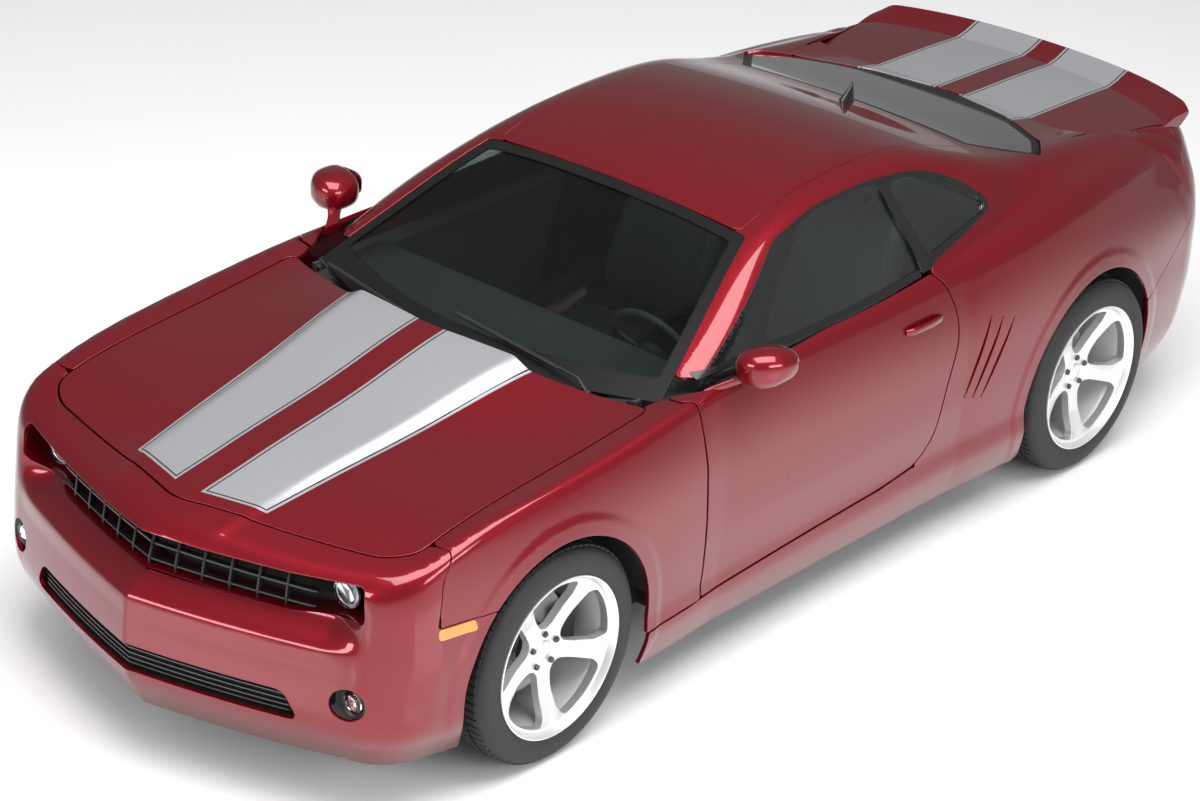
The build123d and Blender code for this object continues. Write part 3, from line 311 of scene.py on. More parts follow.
detail = {
    "gillWidth": 0.014,
    "gillBand": (-0.905, -0.535, 118),    # x from, x to and columns of the finer mesh at the gills
    "shelf": 0.075,           # how far the shelf under the upper opening slopes back
    "archLip": 0.0045,        # the flat lip round each wheel arch
    "sillLine": 0.31,         # where the sill swells out below the doors
    "sillStep": 0.016,
    "cell": 0.0115,           # the panels' mesh size
    "edgeRound": 0.0018,
    "panelDepth": 0.014,
    "trimDepth": 0.066,       # a door's inner panel
    "formStep": 0.009,        # how broadly the form is read for its normals
    "reliefStep": 0.0015,     # and how closely the relief
}
places = {
    "archRadii": (0.404, 0.414),          # front and rear wheel openings
    "doorHinge": (0.850, 0.880),          # x and y of its axis
    "lidHinge": (-1.340, 0.985),          # x and z of its axis
    "lidSweep": (0.3956, 0.3896),         # where the lid ends and the deck begins, from that axis
    "fog": (0.722, 0.408, 0.053),         # y, z and radius of the fog lamps' holes
    "plate": (0.168, 0.6225, 0.0775),     # half width, middle height and half height
    "tailLamp": (0.062, 0.8765, 0.0485),  # the same for each block of the tail lamps
    "tailLampRows": (0.390, 0.540),       # y of the blocks' middles
    "pipe": (0.520, 0.250, 0.050),        # y, z and radius of the tail pipes' holes
    "seam": 0.006,                        # gap round what opens
    "joint": 0.0005,                      # gap between fixed pieces
}


# outlines of the panels, left half or left side, in mm
plans = {
    "hood": [(2206, 0), (2035, 700), (1968, 780), (925, 780), (985, 600), (1055, 400), (1093, 0)],
    "screen": [(197, 0), (198, 300), (207, 558), (850, 752), (1010, 690), (1150, 400), (1180, 0)],
    "rearScreen": [(-1120, 0), (-1112, 300), (-1095, 500), (-1325, 672), (-1480, 560), (-1640, 300),
                   (-1706, 0)],
    "lid": [(-1600, 0), (-1600, 600), (-1724, 620), (-2090, 690), (-2120, 700), (-2300, 560), (-2600, 0)],
    "deck": [(-1850, 0), (-1850, 620), (-1480, 590), (-1480, 560), (-1640, 300), (-1706, 0)],
    "roof": [(197, 0), (198, 300), (200, 500), (188, 524), (-1090, 520), (-1095, 500), (-1112, 300),
             (-1120, 0)],
    "cowlGap": [(1093, 0), (1093, 750), (905, 762), (820, 790), (700, 860), (0, 830), (0, 0)],
}
sides = {
    "door": [(-422, 1120), (-422, 1056), (-499, 989), (-544, 879), (-544, 786), (-487, 624), (-446, 441),
             (-369, 367), (-173, 345), (790, 309), (840, 309), (840, 1120)],
    "window": [(700, 978), (150, 1248), (-86, 1291), (-340, 1298), (-422, 1291), (-434, 900), (700, 900)],
    "quarterWindow": [(-470, 1285), (-570, 1277), (-696, 1249), (-806, 1196), (-866, 1144), (-858, 1120),
                      (-694, 1098), (-484, 1068)],
    "daylight": [(718, 978), (150, 1263), (-86, 1306), (-345, 1313), (-470, 1304), (-576, 1294), (-702, 1265),
                 (-820, 1209), (-890, 1150), (-892, 1116), (-701, 1081), (-484, 1040), (-434, 900),
                 (718, 900)],
    "quarter": [(-366, 165), (-366, 1250), (-2112, 1250), (-2112, 760), (-1800, 560), (-1381, 420),
                (-980, 165)],
    "sill": [(1062, 165), (1062, 294), (850, 297), (790, 302), (-173, 338), (-366, 359), (-366, 165)],
    "fender": [(1894, 1200), (1894, 886), (1911, 876), (1967, 800), (1989, 661), (1835, 649), (1700, 640),
               (1471, 300), (1090, 300), (850, 303), (700, 303), (700, 1200)],
    "nose": [(1896, 1200), (1896, 886), (1913, 877), (1969, 801), (1992, 659), (1835, 647), (1700, 638),
             (1700, 165), (2600, 165), (2600, 1200)],
    "tail": [(-2112.5, 1200), (-2112.5, 759), (-1800, 559), (-1600, 480), (-1600, 165), (-2600, 165),
             (-2600, 1200)],
    "marker": [(1990, 655), (1847, 644), (1842, 608), (1988, 618)],
}
fronts = {
    "upperOpening": [(-752, 668), (-738, 792), (-500, 778), (0, 766), (500, 778), (738, 792), (752, 668),
                     (480, 642), (-480, 642)],
    "lowerOpening": [(-530, 408), (530, 408), (570, 332), (556, 312), (-556, 312), (-570, 332)],
}
# height and radius about its hinge of the door's front end
doorEdge = [(280, 73), (400, 84), (590, 83.6), (776, 74), (927, 50.7), (1010, 42), (1120, 40)]


def whole(half):
    return half + [(x, -y) for x, y in reversed(half[1:-1])]


# The outline in metres with its corners rounded.
def softened(points, radius, steps=5):
    points = np.array(points, float) * mm
    out = []
    for before, here, after in zip(np.roll(points, 1, 0), points, np.roll(points, -1, 0)):
        a, b = before - here, after - here
        la, lb = np.hypot(*a), np.hypot(*b)
        reach = min(radius, la * 0.45, lb * 0.45)
        start, end = here + a / la * reach, here + b / lb * reach
        for t in np.linspace(0, 1, steps):
            out.append(start * (1 - t) ** 2 + here * 2 * t * (1 - t) + end * t * t)
    return np.array(out)


# Signed distance in the plane from the points q to a closed outline, negative inside.
def outlineDistance(q, outline):
    nearest = np.full(len(q), 1e9)
    inside = np.zeros(len(q), bool)
    for a, b in zip(outline, np.roll(outline, -1, 0)):
        edge, w = b - a, q - a
        t = np.clip((w @ edge) / (edge @ edge + 1e-12), 0, 1)
        nearest = np.minimum(nearest, (w[:, 0] - edge[0] * t) ** 2 + (w[:, 1] - edge[1] * t) ** 2)
        spans = (a[1] > q[:, 1]) != (b[1] > q[:, 1])
        cross = edge[0] * (q[:, 1] - a[1]) / (edge[1] + 1e-15) + a[0]
        inside ^= spans & (q[:, 0] < cross)
    return np.where(inside, -1, 1) * np.sqrt(nearest)


planOutlines = {name: softened(whole(points), 0.045 if name in ("hood", "lid") else 0.02)
                for name, points in plans.items()}
sideOutlines = {name: softened(points, {"door": 0.06, "window": 0.03, "daylight": 0.05,
                                        "quarterWindow": 0.035}.get(name, 0.012))
                for name, points in sides.items()}
frontOutlines = {name: softened(points, 0.03) for name, points in fronts.items()}


def plan(p, name):
    return outlineDistance(p[:, :2], planOutlines[name])


def sideways(p, name):
    return outlineDistance(p[:, [0, 2]], sideOutlines[name])


def frontal(p, name):
    return outlineDistance(p[:, 1:], frontOutlines[name])


def arch(p, centre, radius):
    away = np.hypot(p[:, 0] - centre, p[:, 2] - axleHeight) - radius
    return np.where(np.abs(p[:, 1]) > 0.48, away, 1)


# Negative behind the round face that the door's front end turns about.
def doorFront(p, grow):
    radius = np.interp(p[:, 2], [z * mm for z, r in doorEdge], [r * mm for z, r in doorEdge]) + grow
    hingeX, hingeY = places["doorHinge"]
    ahead = p[:, 0] - hingeX
    away = np.hypot(ahead, np.abs(p[:, 1]) - hingeY)
    return np.where(ahead < 0, radius - away, np.maximum(ahead, radius - away))


def hoodArea(p):
    return plan(p, "hood")


def fenderArea(p):
    seam = places["seam"]
    ahead = p[:, 0] > places["doorHinge"][0]
    d = np.maximum(sideways(p, "fender"), np.where(ahead, -1, -doorFront(p, -seam)))
    d = np.maximum(d, seam - plan(p, "hood"))
    d = np.maximum(d, -arch(p, axleFront, places["archRadii"][0]))
    d = np.maximum(np.maximum(d, -plan(p, "cowlGap")), 0.008 - plan(p, "screen"))
    return np.maximum(d, 0.002 - glasshouse(p))


def doorArea(p):
    d = np.maximum(sideways(p, "door"), doorFront(p, 0))
    d = np.maximum(np.maximum(d, -plan(p, "cowlGap")), 0.010 - plan(p, "screen"))
    return np.maximum(d, 0.004 - glasshouse(p))


def trimArea(p):
    return np.maximum(np.maximum(doorArea(p) + 0.020, p[:, 0] - 0.70), p[:, 2] - 0.86)


def sideArea(p):
    onCabin = 0.004 - lowerBody(p)
    frameArea = np.maximum(np.maximum(onCabin, p[:, 0] - 0.80), -1.69 - p[:, 0])
    frameArea = np.maximum(frameArea, 0.004 - sideways(p, "window"))
    frameArea = np.maximum(frameArea, -sideways(p, "quarterWindow"))
    frameArea = np.maximum(frameArea, np.where(p[:, 0] > -0.44, 1.0 - p[:, 2], -1))
    seam, joint = places["seam"], places["joint"]
    quarter = np.maximum(sideways(p, "quarter"), seam - sideways(p, "door"))
    d = np.minimum(np.minimum(quarter, sideways(p, "sill")), frameArea)
    d = np.maximum(d, np.where(lowerBody(p) > -0.004, -0.003 - sideways(p, "daylight"), -1))
    borders = (("lid", seam), ("deck", joint), ("rearScreen", joint), ("screen", joint), ("roof", joint))
    for name, gap in borders:
        d = np.maximum(d, np.where(p[:, 2] > 0.8, gap - plan(p, name), -1))
    d = np.maximum(d, -gillSlots(p))
    return np.maximum(d, -arch(p, axleRear, places["archRadii"][1]))


def roofArea(p):
    return plan(p, "roof")


# Distance outside a round hole at both sides, given by y, z and radius.
def roundHole(p, spot):
    y, z, radius = spot
    return np.hypot(np.abs(p[:, 1]) - y, p[:, 2] - z) - radius


def noseArea(p):
    d = np.maximum(sideways(p, "nose"), np.where(p[:, 2] > 0.6, places["seam"] - plan(p, "hood"), -1))
    d = np.maximum(d, -arch(p, axleFront, places["archRadii"][0]))
    ahead = p[:, 0] > 1.95
    for name in fronts:
        d = np.maximum(d, np.where(ahead, -frontal(p, name), -1))
    return np.maximum(d, np.where(ahead, -roundHole(p, places["fog"]), -1))


def lampBlocks(p, grow):
    y = np.abs(p[:, 1])
    halfWidth, middle, halfHeight = places["tailLamp"]
    height = np.abs(p[:, 2] - middle) - halfHeight - grow
    inner, outer = (np.maximum(np.abs(y - row) - halfWidth - grow, height) for row in places["tailLampRows"])
    return np.where(p[:, 0] < -2.2, np.minimum(inner, outer), 1)


def plateArea(p):
    halfWidth, middle, halfHeight = places["plate"]
    return np.maximum(np.abs(p[:, 1]) - halfWidth, np.abs(p[:, 2] - middle) - halfHeight)


def tailArea(p):
    seam = places["seam"]
    d = np.maximum(sideways(p, "tail"), -arch(p, axleRear, places["archRadii"][1]))
    d = np.maximum(d, np.where(p[:, 2] > places["lidHinge"][1] - seam, seam - plan(p, "lid"), -1))
    behind = p[:, 0] < -2.2
    d = np.maximum(d, np.where(behind, np.maximum(-plateArea(p), -roundHole(p, places["pipe"])), -1))
    return np.maximum(d, -lampBlocks(p, places["joint"]))


def fromLidHinge(p):
    return np.hypot(p[:, 0] - places["lidHinge"][0], p[:, 2] - places["lidHinge"][1])


def lidArea(p):
    d = np.maximum(plan(p, "lid"), places["lidHinge"][1] - p[:, 2])
    return np.maximum(d, places["lidSweep"][0] - fromLidHinge(p))


def deckArea(p):
    d = np.maximum(plan(p, "deck"), fromLidHinge(p) - places["lidSweep"][1])
    return np.maximum(d, 0.001 - plan(p, "rearScreen"))


def screenArea(p):
    return np.maximum(plan(p, "screen"), 0.950 - p[:, 2])


def rearScreenArea(p):
    return np.maximum(plan(p, "rearScreen"), -0.004 - lowerBody(p))


def windowArea(p):
    return np.maximum(sideways(p, "window"), np.maximum(-0.020 - lowerBody(p), 0.004 - plan(p, "roof")))


def quarterGlassArea(p):
    return sideways(p, "quarterWindow")


# rays that lay a flat grid onto the body: each gives the start and direction for (u, v)
def downward(u, v):
    return np.stack([u, v, u * 0 + 0.30], 1), np.stack([u * 0, u * 0, u * 0 + 1], 1)


def aroundAxis(u, v):
    return np.stack([u, u * 0, u * 0 + 0.60], 1), np.stack([u * 0, np.cos(v), np.sin(v)], 1)


def aroundPoint(x, z):
    def rays(u, v):
        start = np.stack([u * 0 + x, u * 0, u * 0 + z], 1)
        facing = 1 if x > 0 else -1
        return start, np.stack([np.cos(u) * np.cos(v) * facing, np.sin(u) * np.cos(v), np.sin(v)], 1)
    return rays


def aroundCross(x, z):
    def rays(u, v):
        return np.stack([u * 0 + x, u, u * 0 + z], 1), np.stack([np.cos(v), u * 0, np.sin(v)], 1)
    return rays


# Where each ray leaves the surface.
def landed(surface, rays, u, v, near, far, steps=21):
    start, direction = rays(u, v)
    low, high = np.full(len(u), near), np.full(len(u), far)
    for _ in range(steps):
        middle = (low + high) / 2
        outside = surface(start + direction * middle[:, None]) > 0
        high = np.where(outside, middle, high)
        low = np.where(outside, low, middle)
    return start + direction * low[:, None]


def slopes(f, p, h):
    out = np.empty_like(p)
    for axis in range(3):
        step = np.zeros(3)
        step[axis] = h
        out[:, axis] = (f(p + step) - f(p - step)) / (2 * h)
    return out


# Unit normals: the form read broadly, the fine relief read closely.
def facing(shape, p):
    n = slopes(shape, p, detail["formStep"]) - slopes(relief, p, detail["reliefStep"])
    return n / np.linalg.norm(n, axis=1)[:, None]


# A triangle mesh of the surface, trimmed exactly to area < 0. Returns points and triangles.
def clippedGrid(surface, rays, area, uSpan, vSpan, count, near, far, band=None):
    us, vs = np.linspace(*uSpan, count[0]), np.linspace(*vSpan, count[1])
    if band:
        fine = np.linspace(*band)
        step = us[1] - us[0]
        us = np.concatenate([us[us < fine[0] - step / 2], fine, us[us > fine[-1] + step / 2]])
        count = (len(us), len(vs))
    u, v = (a.ravel() for a in np.meshgrid(us, vs, indexing="ij"))
    p = landed(surface, rays, u, v, near, far)
    g = area(p)
    grid = g.reshape(count)
    gu, gv = np.gradient(grid, us, vs)
    size = (np.repeat(np.gradient(us), count[1]), vs[1] - vs[0])
    slope = (gu ** 2 + gv ** 2).ravel() + 1e-12
    du, dv = -g * gu.ravel() / slope, -g * gv.ravel() / slope
    snap = (np.abs(du) < 0.3 * size[0]) & (np.abs(dv) < 0.3 * size[1])
    u2, v2 = u + np.where(snap, du, 0), v + np.where(snap, dv, 0)
    where = np.flatnonzero(snap)
    moved = landed(surface, rays, u2[where], v2[where], near, far)
    good = np.abs(area(moved)) < 0.0012
    where, moved = where[good], moved[good]
    p[where], u[where], v[where], g[where] = moved, u2[where], v2[where], 0
    index = np.arange(len(u)).reshape(count)
    a, b, c, d = (index[:-1, :-1], index[1:, :-1], index[1:, 1:], index[:-1, 1:])
    flip = (np.add.outer(np.arange(count[0] - 1), np.arange(count[1] - 1)) % 2).ravel().astype(bool)
    a, b, c, d = (q.ravel() for q in (a, b, c, d))
    first = np.where(flip[:, None], np.stack([a, b, c], 1), np.stack([a, b, d], 1))
    second = np.where(flip[:, None], np.stack([a, c, d], 1), np.stack([b, c, d], 1))
    tri = np.concatenate([first, second])
    sign = np.sign(g).astype(int)
    ins = (sign[tri] < 0).sum(1)
    outs = (sign[tri] > 0).sum(1)
    kept, cut = tri[(outs == 0) & (ins > 0)], tri[(outs > 0) & (ins > 0)]
    edges = np.sort(np.concatenate([cut[:, [0, 1]], cut[:, [1, 2]], cut[:, [2, 0]]]), axis=1)
    edges = np.unique(edges[sign[edges[:, 0]] * sign[edges[:, 1]] < 0], axis=0)
    ends = edges[:, 0], edges[:, 1]
    t0, t1 = np.zeros(len(edges)), np.ones(len(edges))
    g0, g1 = g[ends[0]], g[ends[1]]
    for _ in range(3):
        t = t0 + (t1 - t0) * g0 / (g0 - g1 + 1e-15)
        ut = u[ends[0]] * (1 - t) + u[ends[1]] * t
        vt = v[ends[0]] * (1 - t) + v[ends[1]] * t
        q = landed(surface, rays, ut, vt, near, far)
        gq = area(q)
        same = gq * g0 > 0
        t0, g0 = np.where(same, t, t0), np.where(same, gq, g0)
        t1, g1 = np.where(same, t1, t), np.where(same, g1, gq)
    key = {tuple(e): len(p) + i for i, e in enumerate(edges.tolist())}
    points = np.concatenate([p, q])
    extra = []
    for corners in cut.tolist():
        ring = []
        for k in range(3):
            here, after = corners[k], corners[(k + 1) % 3]
            if sign[here] <= 0:
                ring.append(here)
            if sign[here] * sign[after] < 0:
                ring.append(key[(min(here, after), max(here, after))])
        extra += [(ring[0], ring[k], ring[k + 1]) for k in range(1, len(ring) - 1)]
    faces = np.concatenate([kept, np.array(extra, int).reshape(-1, 3)])
    used, renumbered = np.unique(faces, return_inverse=True)
    return points[used], renumbered.reshape(-1, 3)


# Unit directions in the surface that lead out of the area.
def areaAway(area, p, normal):
    out = slopes(area, p, 0.0008)
    out -= normal * (out * normal).sum(1)[:, None]
    length = np.linalg.norm(out, axis=1)[:, None]
    return out / np.maximum(length, 1e-9)


# meshes
# A mesh object from points and faces, with exact normals where they are known.
def meshObject(name, points, faces, normals=None, values=None):
    mesh = bpy.data.meshes.new(name)
    mesh.from_pydata(np.asarray(points, float).tolist(), [], [list(f) for f in faces])
    mesh.update()
    mesh.shade_smooth()
    for key, column in (values or {}).items():
        mesh.attributes.new(key, "FLOAT", "POINT").data.foreach_set("value", np.asarray(column, np.float32))
    if normals is not None:
        mesh.normals_split_custom_set_from_vertices(np.asarray(normals, float).tolist())
    obj = bpy.data.objects.new(name, mesh)
    bpy.context.collection.objects.link(obj)
    return obj


# Several (points, faces, normals) as one.
def combined(parts):
    points, faces, normals, start = [], [], [], 0
    for p, f, n in parts:
        points.append(p)
        normals.append(n)
        faces += [[i + start for i in face] for face in f]
        start += len(p)
    return np.concatenate(points), faces, np.concatenate(normals)


# The same piece on the car's other side.
def flipped(p, f, n):
    turn = np.array([1, -1, 1])
    return p * turn, [list(face)[::-1] for face in f], n * turn


# A closed shell: the outer face, a rounded edge, the wall and the inner face.
def thickened(p, faces, n, out, depth, sink=0.0, inward=None):
    faces = np.asarray(faces)
    normalOf = np.cross(p[faces[:, 1]] - p[faces[:, 0]], p[faces[:, 2]] - p[faces[:, 0]])
    wrong = (normalOf * n[faces].sum(1)).sum(1) < 0
    faces[wrong] = faces[wrong][:, ::-1]
    directed = np.concatenate([faces[:, [0, 1]], faces[:, [1, 2]], faces[:, [2, 0]]])
    known = set(map(tuple, directed.tolist()))
    rim = [e for e in directed.tolist() if (e[1], e[0]) not in known]
    edge = np.unique(np.array(rim))
    r = detail["edgeRound"]
    p = p - n * sink
    top = p.copy()
    top[edge] -= out[edge] * r
    points, normals = [top], [n]
    count = len(p)
    place = {e: i for i, e in enumerate(edge.tolist())}
    down = -n if inward is None else np.broadcast_to(inward, n.shape)
    rings = []
    for angle in (0.55, 1.05, 1.5708):
        ring = top[edge] + out[edge] * r * math.sin(angle) + down[edge] * r * (1 - math.cos(angle))
        rings.append((ring, n[edge] * math.cos(angle) + out[edge] * math.sin(angle)))
    inner = p + down * depth
    rings.append((inner[edge], out[edge]))
    for ring, direction in rings:
        points.append(ring)
        normals.append(direction)
    bottomStart = count + 4 * len(edge)
    points.append(inner)
    normals.append(down * 1.0)
    result = [list(f) for f in faces.tolist()] + [[bottomStart + i for i in f[::-1]] for f in faces.tolist()]
    levels = [lambda i: i] + [lambda i, k=k: count + k * len(edge) + place[i] for k in range(4)]
    levels.append(lambda i: bottomStart + i)
    for a, b in rim:
        for k in range(len(levels) - 1):
            result.append([levels[k](a), levels[k + 1](a), levels[k + 1](b), levels[k](b)])
    return np.concatenate(points), result, np.concatenate(normals)


# One trimmed and thickened panel of the body: its points, faces and normals, and each point's distance
# from the panel's edge.
def panelParts(shape, rays, area, uSpan, vSpan, near, far, sink=0.0, depth=None, coarse=1.0, radius=0.85,
               band=None):
    cell = detail["cell"] * coarse
    wide = (uSpan[1] - uSpan[0]) * (1 if rays in (downward, aroundAxis) else radius)
    high = (vSpan[1] - vSpan[0]) * (1 if rays is downward else radius)
    count = (int(wide / cell) + 2, int(high / cell) + 2)
    p, faces = clippedGrid(shape, rays, area, uSpan, vSpan, count, near, far, band)
    broad = slopes(shape, p, detail["formStep"])
    broad /= np.linalg.norm(broad, axis=1)[:, None]
    normal = facing(shape, p)
    out = areaAway(area, p, broad)
    edgeway = -area(p)
    p = p + broad * relief(p)[:, None]
    walled = thickened(p, faces, normal, out, depth or detail["panelDepth"], sink)
    rings = np.zeros(len(walled[0]))
    rings[:len(p)] = edgeway
    rings[-len(p):] = edgeway
    return walled, rings


# The piece rides its body, takes its material, and stands for the CAD nodes.
def dressed(obj, body, slotName, material, *nodes):
    obj.data.materials.append(material)
    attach(obj, body)
    if nodes:
        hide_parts(*nodes)
    return obj


# materials
# A socket of a shader tree; sums and products of wires make the math nodes.
class Wire:
    def __init__(self, tree, socket):
        self.tree, self.socket = tree, socket

    def node(self, kind, inputs=None, output=0, **settings):
        made = self.tree.nodes.new(kind)
        for key, value in settings.items():
            setattr(made, key, value)
        for key, value in (inputs or {}).items():
            if isinstance(value, Wire):
                self.tree.links.new(value.socket, made.inputs[key])
            else:
                made.inputs[key].default_value = value
        return Wire(self.tree, made.outputs[output])

    def maths(self, operation, *others):
        return self.node("ShaderNodeMath", dict(enumerate([self, *others])), operation=operation)

    def __add__(self, other):
        return self.maths("ADD", other)

    def __sub__(self, other):
        return self.maths("SUBTRACT", other)

    def __rsub__(self, other):
        return self.node("ShaderNodeMath", {0: other, 1: self}, operation="SUBTRACT")

    def __mul__(self, other):
        return self.maths("MULTIPLY", other)

    __radd__, __rmul__ = __add__, __mul__

    def least(self, other):
        return self.maths("MINIMUM", other)

    def most(self, other):
        return self.maths("MAXIMUM", other)

    def absolute(self):
        return self.maths("ABSOLUTE")

    # 0 below low and 1 above high.
    def step(self, low, high):
        return self.node("ShaderNodeMapRange", {"Value": self, "From Min": low, "From Max": high})

    # A colour between two, by this amount.
    def mixed(self, first, second):
        return self.node("ShaderNodeMix", {0: self, 6: first, 7: second}, output=2, data_type="RGBA")


socketNames = {"metallic": "Metallic", "roughness": "Roughness", "specularLevel": "Specular IOR Level",
               "coatWeight": "Coat Weight", "coatRoughness": "Coat Roughness", "coatIor": "Coat IOR"}


# A principled material with its constants set, a wire with the object's coordinates, and its shader.
def material(name, base=(0.8, 0.8, 0.8), **constants):
    made = bpy.data.materials.new(name)
    made.use_nodes = True
    tree = made.node_tree
    shader = tree.nodes["Principled BSDF"]
    shader.inputs["Base Color"].default_value = (*base, 1)
    for key, value in constants.items():
        shader.inputs[socketNames[key]].default_value = value
    coordinates = tree.nodes.new("ShaderNodeTexCoord")
    start = Wire(tree, coordinates.outputs["Object"])
    return made, start, shader


def connect(wire, shader, name):
    wire.tree.links.new(wire.socket, shader.inputs[name])


def separated(place):
    apart = place.node("ShaderNodeSeparateXYZ", {0: place}).socket.node
    return [Wire(place.tree, socket) for socket in apart.outputs]


def noise(place, scale, detailLevel=3.0, roughness=0.5):
    return place.node("ShaderNodeTexNoise", {"Vector": place, "Scale": scale, "Detail": detailLevel,
                                             "Roughness": roughness})


paintLook = {
    # painted shade and painted highlight: the red seen edge-on, and the lighter red seen face-on
    "paintedShadeRed": (0.062, 0.0005, 0.0025, 1),
    "paintedLitRed": (0.23, 0.003, 0.011, 1),
    "silver": (0.42, 0.43, 0.45, 1),
    "line": (0.012, 0.012, 0.013, 1),
    "roughness": 0.38,
    "metallic": 0.60,
    "flakes": 900.0,           # to a metre
    "stripeInner": 0.055,      # from the centre line to a stripe
    "edgeLine": 0.009,         # where the dark pinline starts and ends, from the stripe's edge
    "blackLine": 0.014,
    "hoodEdge": (0.401, 0.1146, 1.052),     # a stripe's outer edge: y, its taper, and the x of that y
    "lidEdge": 0.352,
    "hoodEnd": (2.161, 0.244),              # where the stripes stop at the nose, and how that line sweeps
    "stripeFoot": (0.70, 0.71),             # no stripe below these heights
}


# The stripes' silver, pinline and silver within it, as three masks.
def stripeMasks(place):
    x, y, z = separated(place)
    across = y.absolute()
    outer, taper, start = paintLook["hoodEdge"]
    onHood = x.step(-0.5, 0.5)
    outerEdge = onHood * (outer - taper * (x - start)) + (1 - onHood) * paintLook["lidEdge"]
    end, sweep = paintLook["hoodEnd"]
    inside = (outerEdge - across).least(across - paintLook["stripeInner"]).least(end - across * sweep - x)
    high = z.step(*paintLook["stripeFoot"])
    return [(inside - edge).step(-0.0006, 0.0006) * high
            for edge in (0.0, paintLook["edgeLine"], paintLook["blackLine"])]


def paint(name, stripes=False):
    made, place, shader = material(name, metallic=paintLook["metallic"], roughness=paintLook["roughness"],
                                   specularLevel=0.1, coatWeight=1.0, coatRoughness=0.035, coatIor=1.55)
    flakes = place.node("ShaderNodeTexVoronoi", {"Vector": place, "Scale": paintLook["flakes"]}, output=1)
    fleck = flakes.node("ShaderNodeSeparateColor", {0: flakes})
    # Painted highlight and painted shade: the base colour is lighter where the surface faces the camera and
    # deeper towards its silhouette.
    edge = place.node("ShaderNodeLayerWeight", {"Blend": 0.35}, output=1)
    colour = edge.step(0.05, 0.95).mixed(paintLook["paintedLitRed"], paintLook["paintedShadeRed"])
    colour = (fleck * 0.35).mixed(colour, paintLook["paintedLitRed"])
    if stripes:
        for mask, finish in zip(stripeMasks(place), ("silver", "line", "silver")):
            colour = mask.mixed(colour, paintLook[finish])
    connect(colour, shader, "Base Color")
    return made


# A procedural finish: the base colour with a little wear in its tone, and a fine grain if asked.
def plain(name, base, speckle=0.12, scale=60.0, bump=0.0, **constants):
    made, place, shader = material(name, base, **constants)
    tone = noise(place, scale)
    dark = tuple(c * (1 - speckle) for c in base) + (1,)
    light = tuple(min(1, c * (1 + speckle)) for c in base) + (1,)
    connect(tone.mixed(dark, light), shader, "Base Color")
    if bump:
        grain = noise(place, scale * 12, 4.0)
        rough = place.node("ShaderNodeBump", {"Height": grain, "Strength": bump, "Distance": 0.001})
        connect(rough, shader, "Normal")
    return made


# Thin tinted glass; a printed black edge where frit is more than nothing.
def glassLook(name, tint, frit=0.0, sheen=0.6):
    made, place, shader = material(name, (0.01, 0.01, 0.01), roughness=0.35, specularLevel=0.12)
    tree = place.tree
    clear = place.node("ShaderNodeBsdfTransparent", {"Color": (*tint, 1)})
    gloss = place.node("ShaderNodeBsdfGlossy", {"Color": (1, 1, 1, 1), "Roughness": 0.01})
    angle = place.node("ShaderNodeFresnel", {"IOR": 1.5})
    both = place.node("ShaderNodeMixShader", {0: angle * sheen, 1: clear, 2: gloss})
    if frit:
        away = place.node("ShaderNodeAttribute", {}, output=2, attribute_name="edgeway")
        printed = away.step(frit + 0.003, frit - 0.003)
        solid = Wire(tree, shader.outputs[0])
        both = place.node("ShaderNodeMixShader", {0: printed, 1: both, 2: solid})
    output = tree.nodes["Material Output"]
    tree.links.new(both.socket, output.inputs["Surface"])
    return made


red = paint("bodyPaint")
stripedRed = paint("stripedPaint", stripes=True)
tinted = glassLook("tintedGlass", (0.72, 0.76, 0.75), sheen=0.5)
screenGlass = glassLook("screenGlass", (0.62, 0.67, 0.65), frit=0.042, sheen=0.14)
backGlass = glassLook("backGlass", (0.45, 0.48, 0.48), frit=0.032, sheen=2.6)
clearGlass = glassLook("clearLens", (0.93, 0.94, 0.95), sheen=1.0)
glossBlack = plain("glossBlack", (0.012, 0.012, 0.013), roughness=0.22)
satinBlack = plain("satinBlack", (0.018, 0.018, 0.019), roughness=0.42, bump=0.15)
# painted shade: a near-black finish for sheets that stand in for the shade deep inside the nose openings
voidShade = plain("paintedCavityShade", (0.010, 0.010, 0.011), roughness=0.8)
chrome = plain("brightTrim", (0.78, 0.79, 0.81), 0.03, metallic=1.0, roughness=0.12)
wheelSilver = plain("wheelSilver", (0.80, 0.81, 0.82), 0.04, metallic=0.55, roughness=0.32, coatWeight=0.6,
                    coatRoughness=0.08)
rubber = plain("tyreRubber", (0.017, 0.017, 0.018), roughness=0.62, bump=0.3)
castIron = plain("castIron", (0.10, 0.10, 0.105), 0.2, metallic=0.8, roughness=0.45, bump=0.3)
discSteel = plain("discSteel", (0.30, 0.30, 0.31), 0.1, metallic=0.9, roughness=0.35)
underCoat = plain("underCoat", (0.022, 0.022, 0.024), 0.3, roughness=0.75, bump=0.4)
leather = plain("seatLeather", (0.11, 0.11, 0.115), 0.15, scale=40.0, roughness=0.48, bump=0.35)
cabinTrim = plain("cabinTrim", (0.070, 0.070, 0.074), 0.12, roughness=0.55, bump=0.3)
pipeSteel = plain("pipeSteel", (0.50, 0.50, 0.50), 0.1, metallic=1.0, roughness=0.28)
amber = plain("amberLens", (0.80, 0.26, 0.02), 0.05, roughness=0.18, coatWeight=1.0, bump=0.2)
tailRed = plain("tailLens", (0.42, 0.008, 0.014), 0.05, roughness=0.12, coatWeight=1.0)
lampGlow = plain("lampGlow", (0.90, 0.91, 0.93), 0.02, roughness=0.2, metallic=0.3)
print("materials ready")

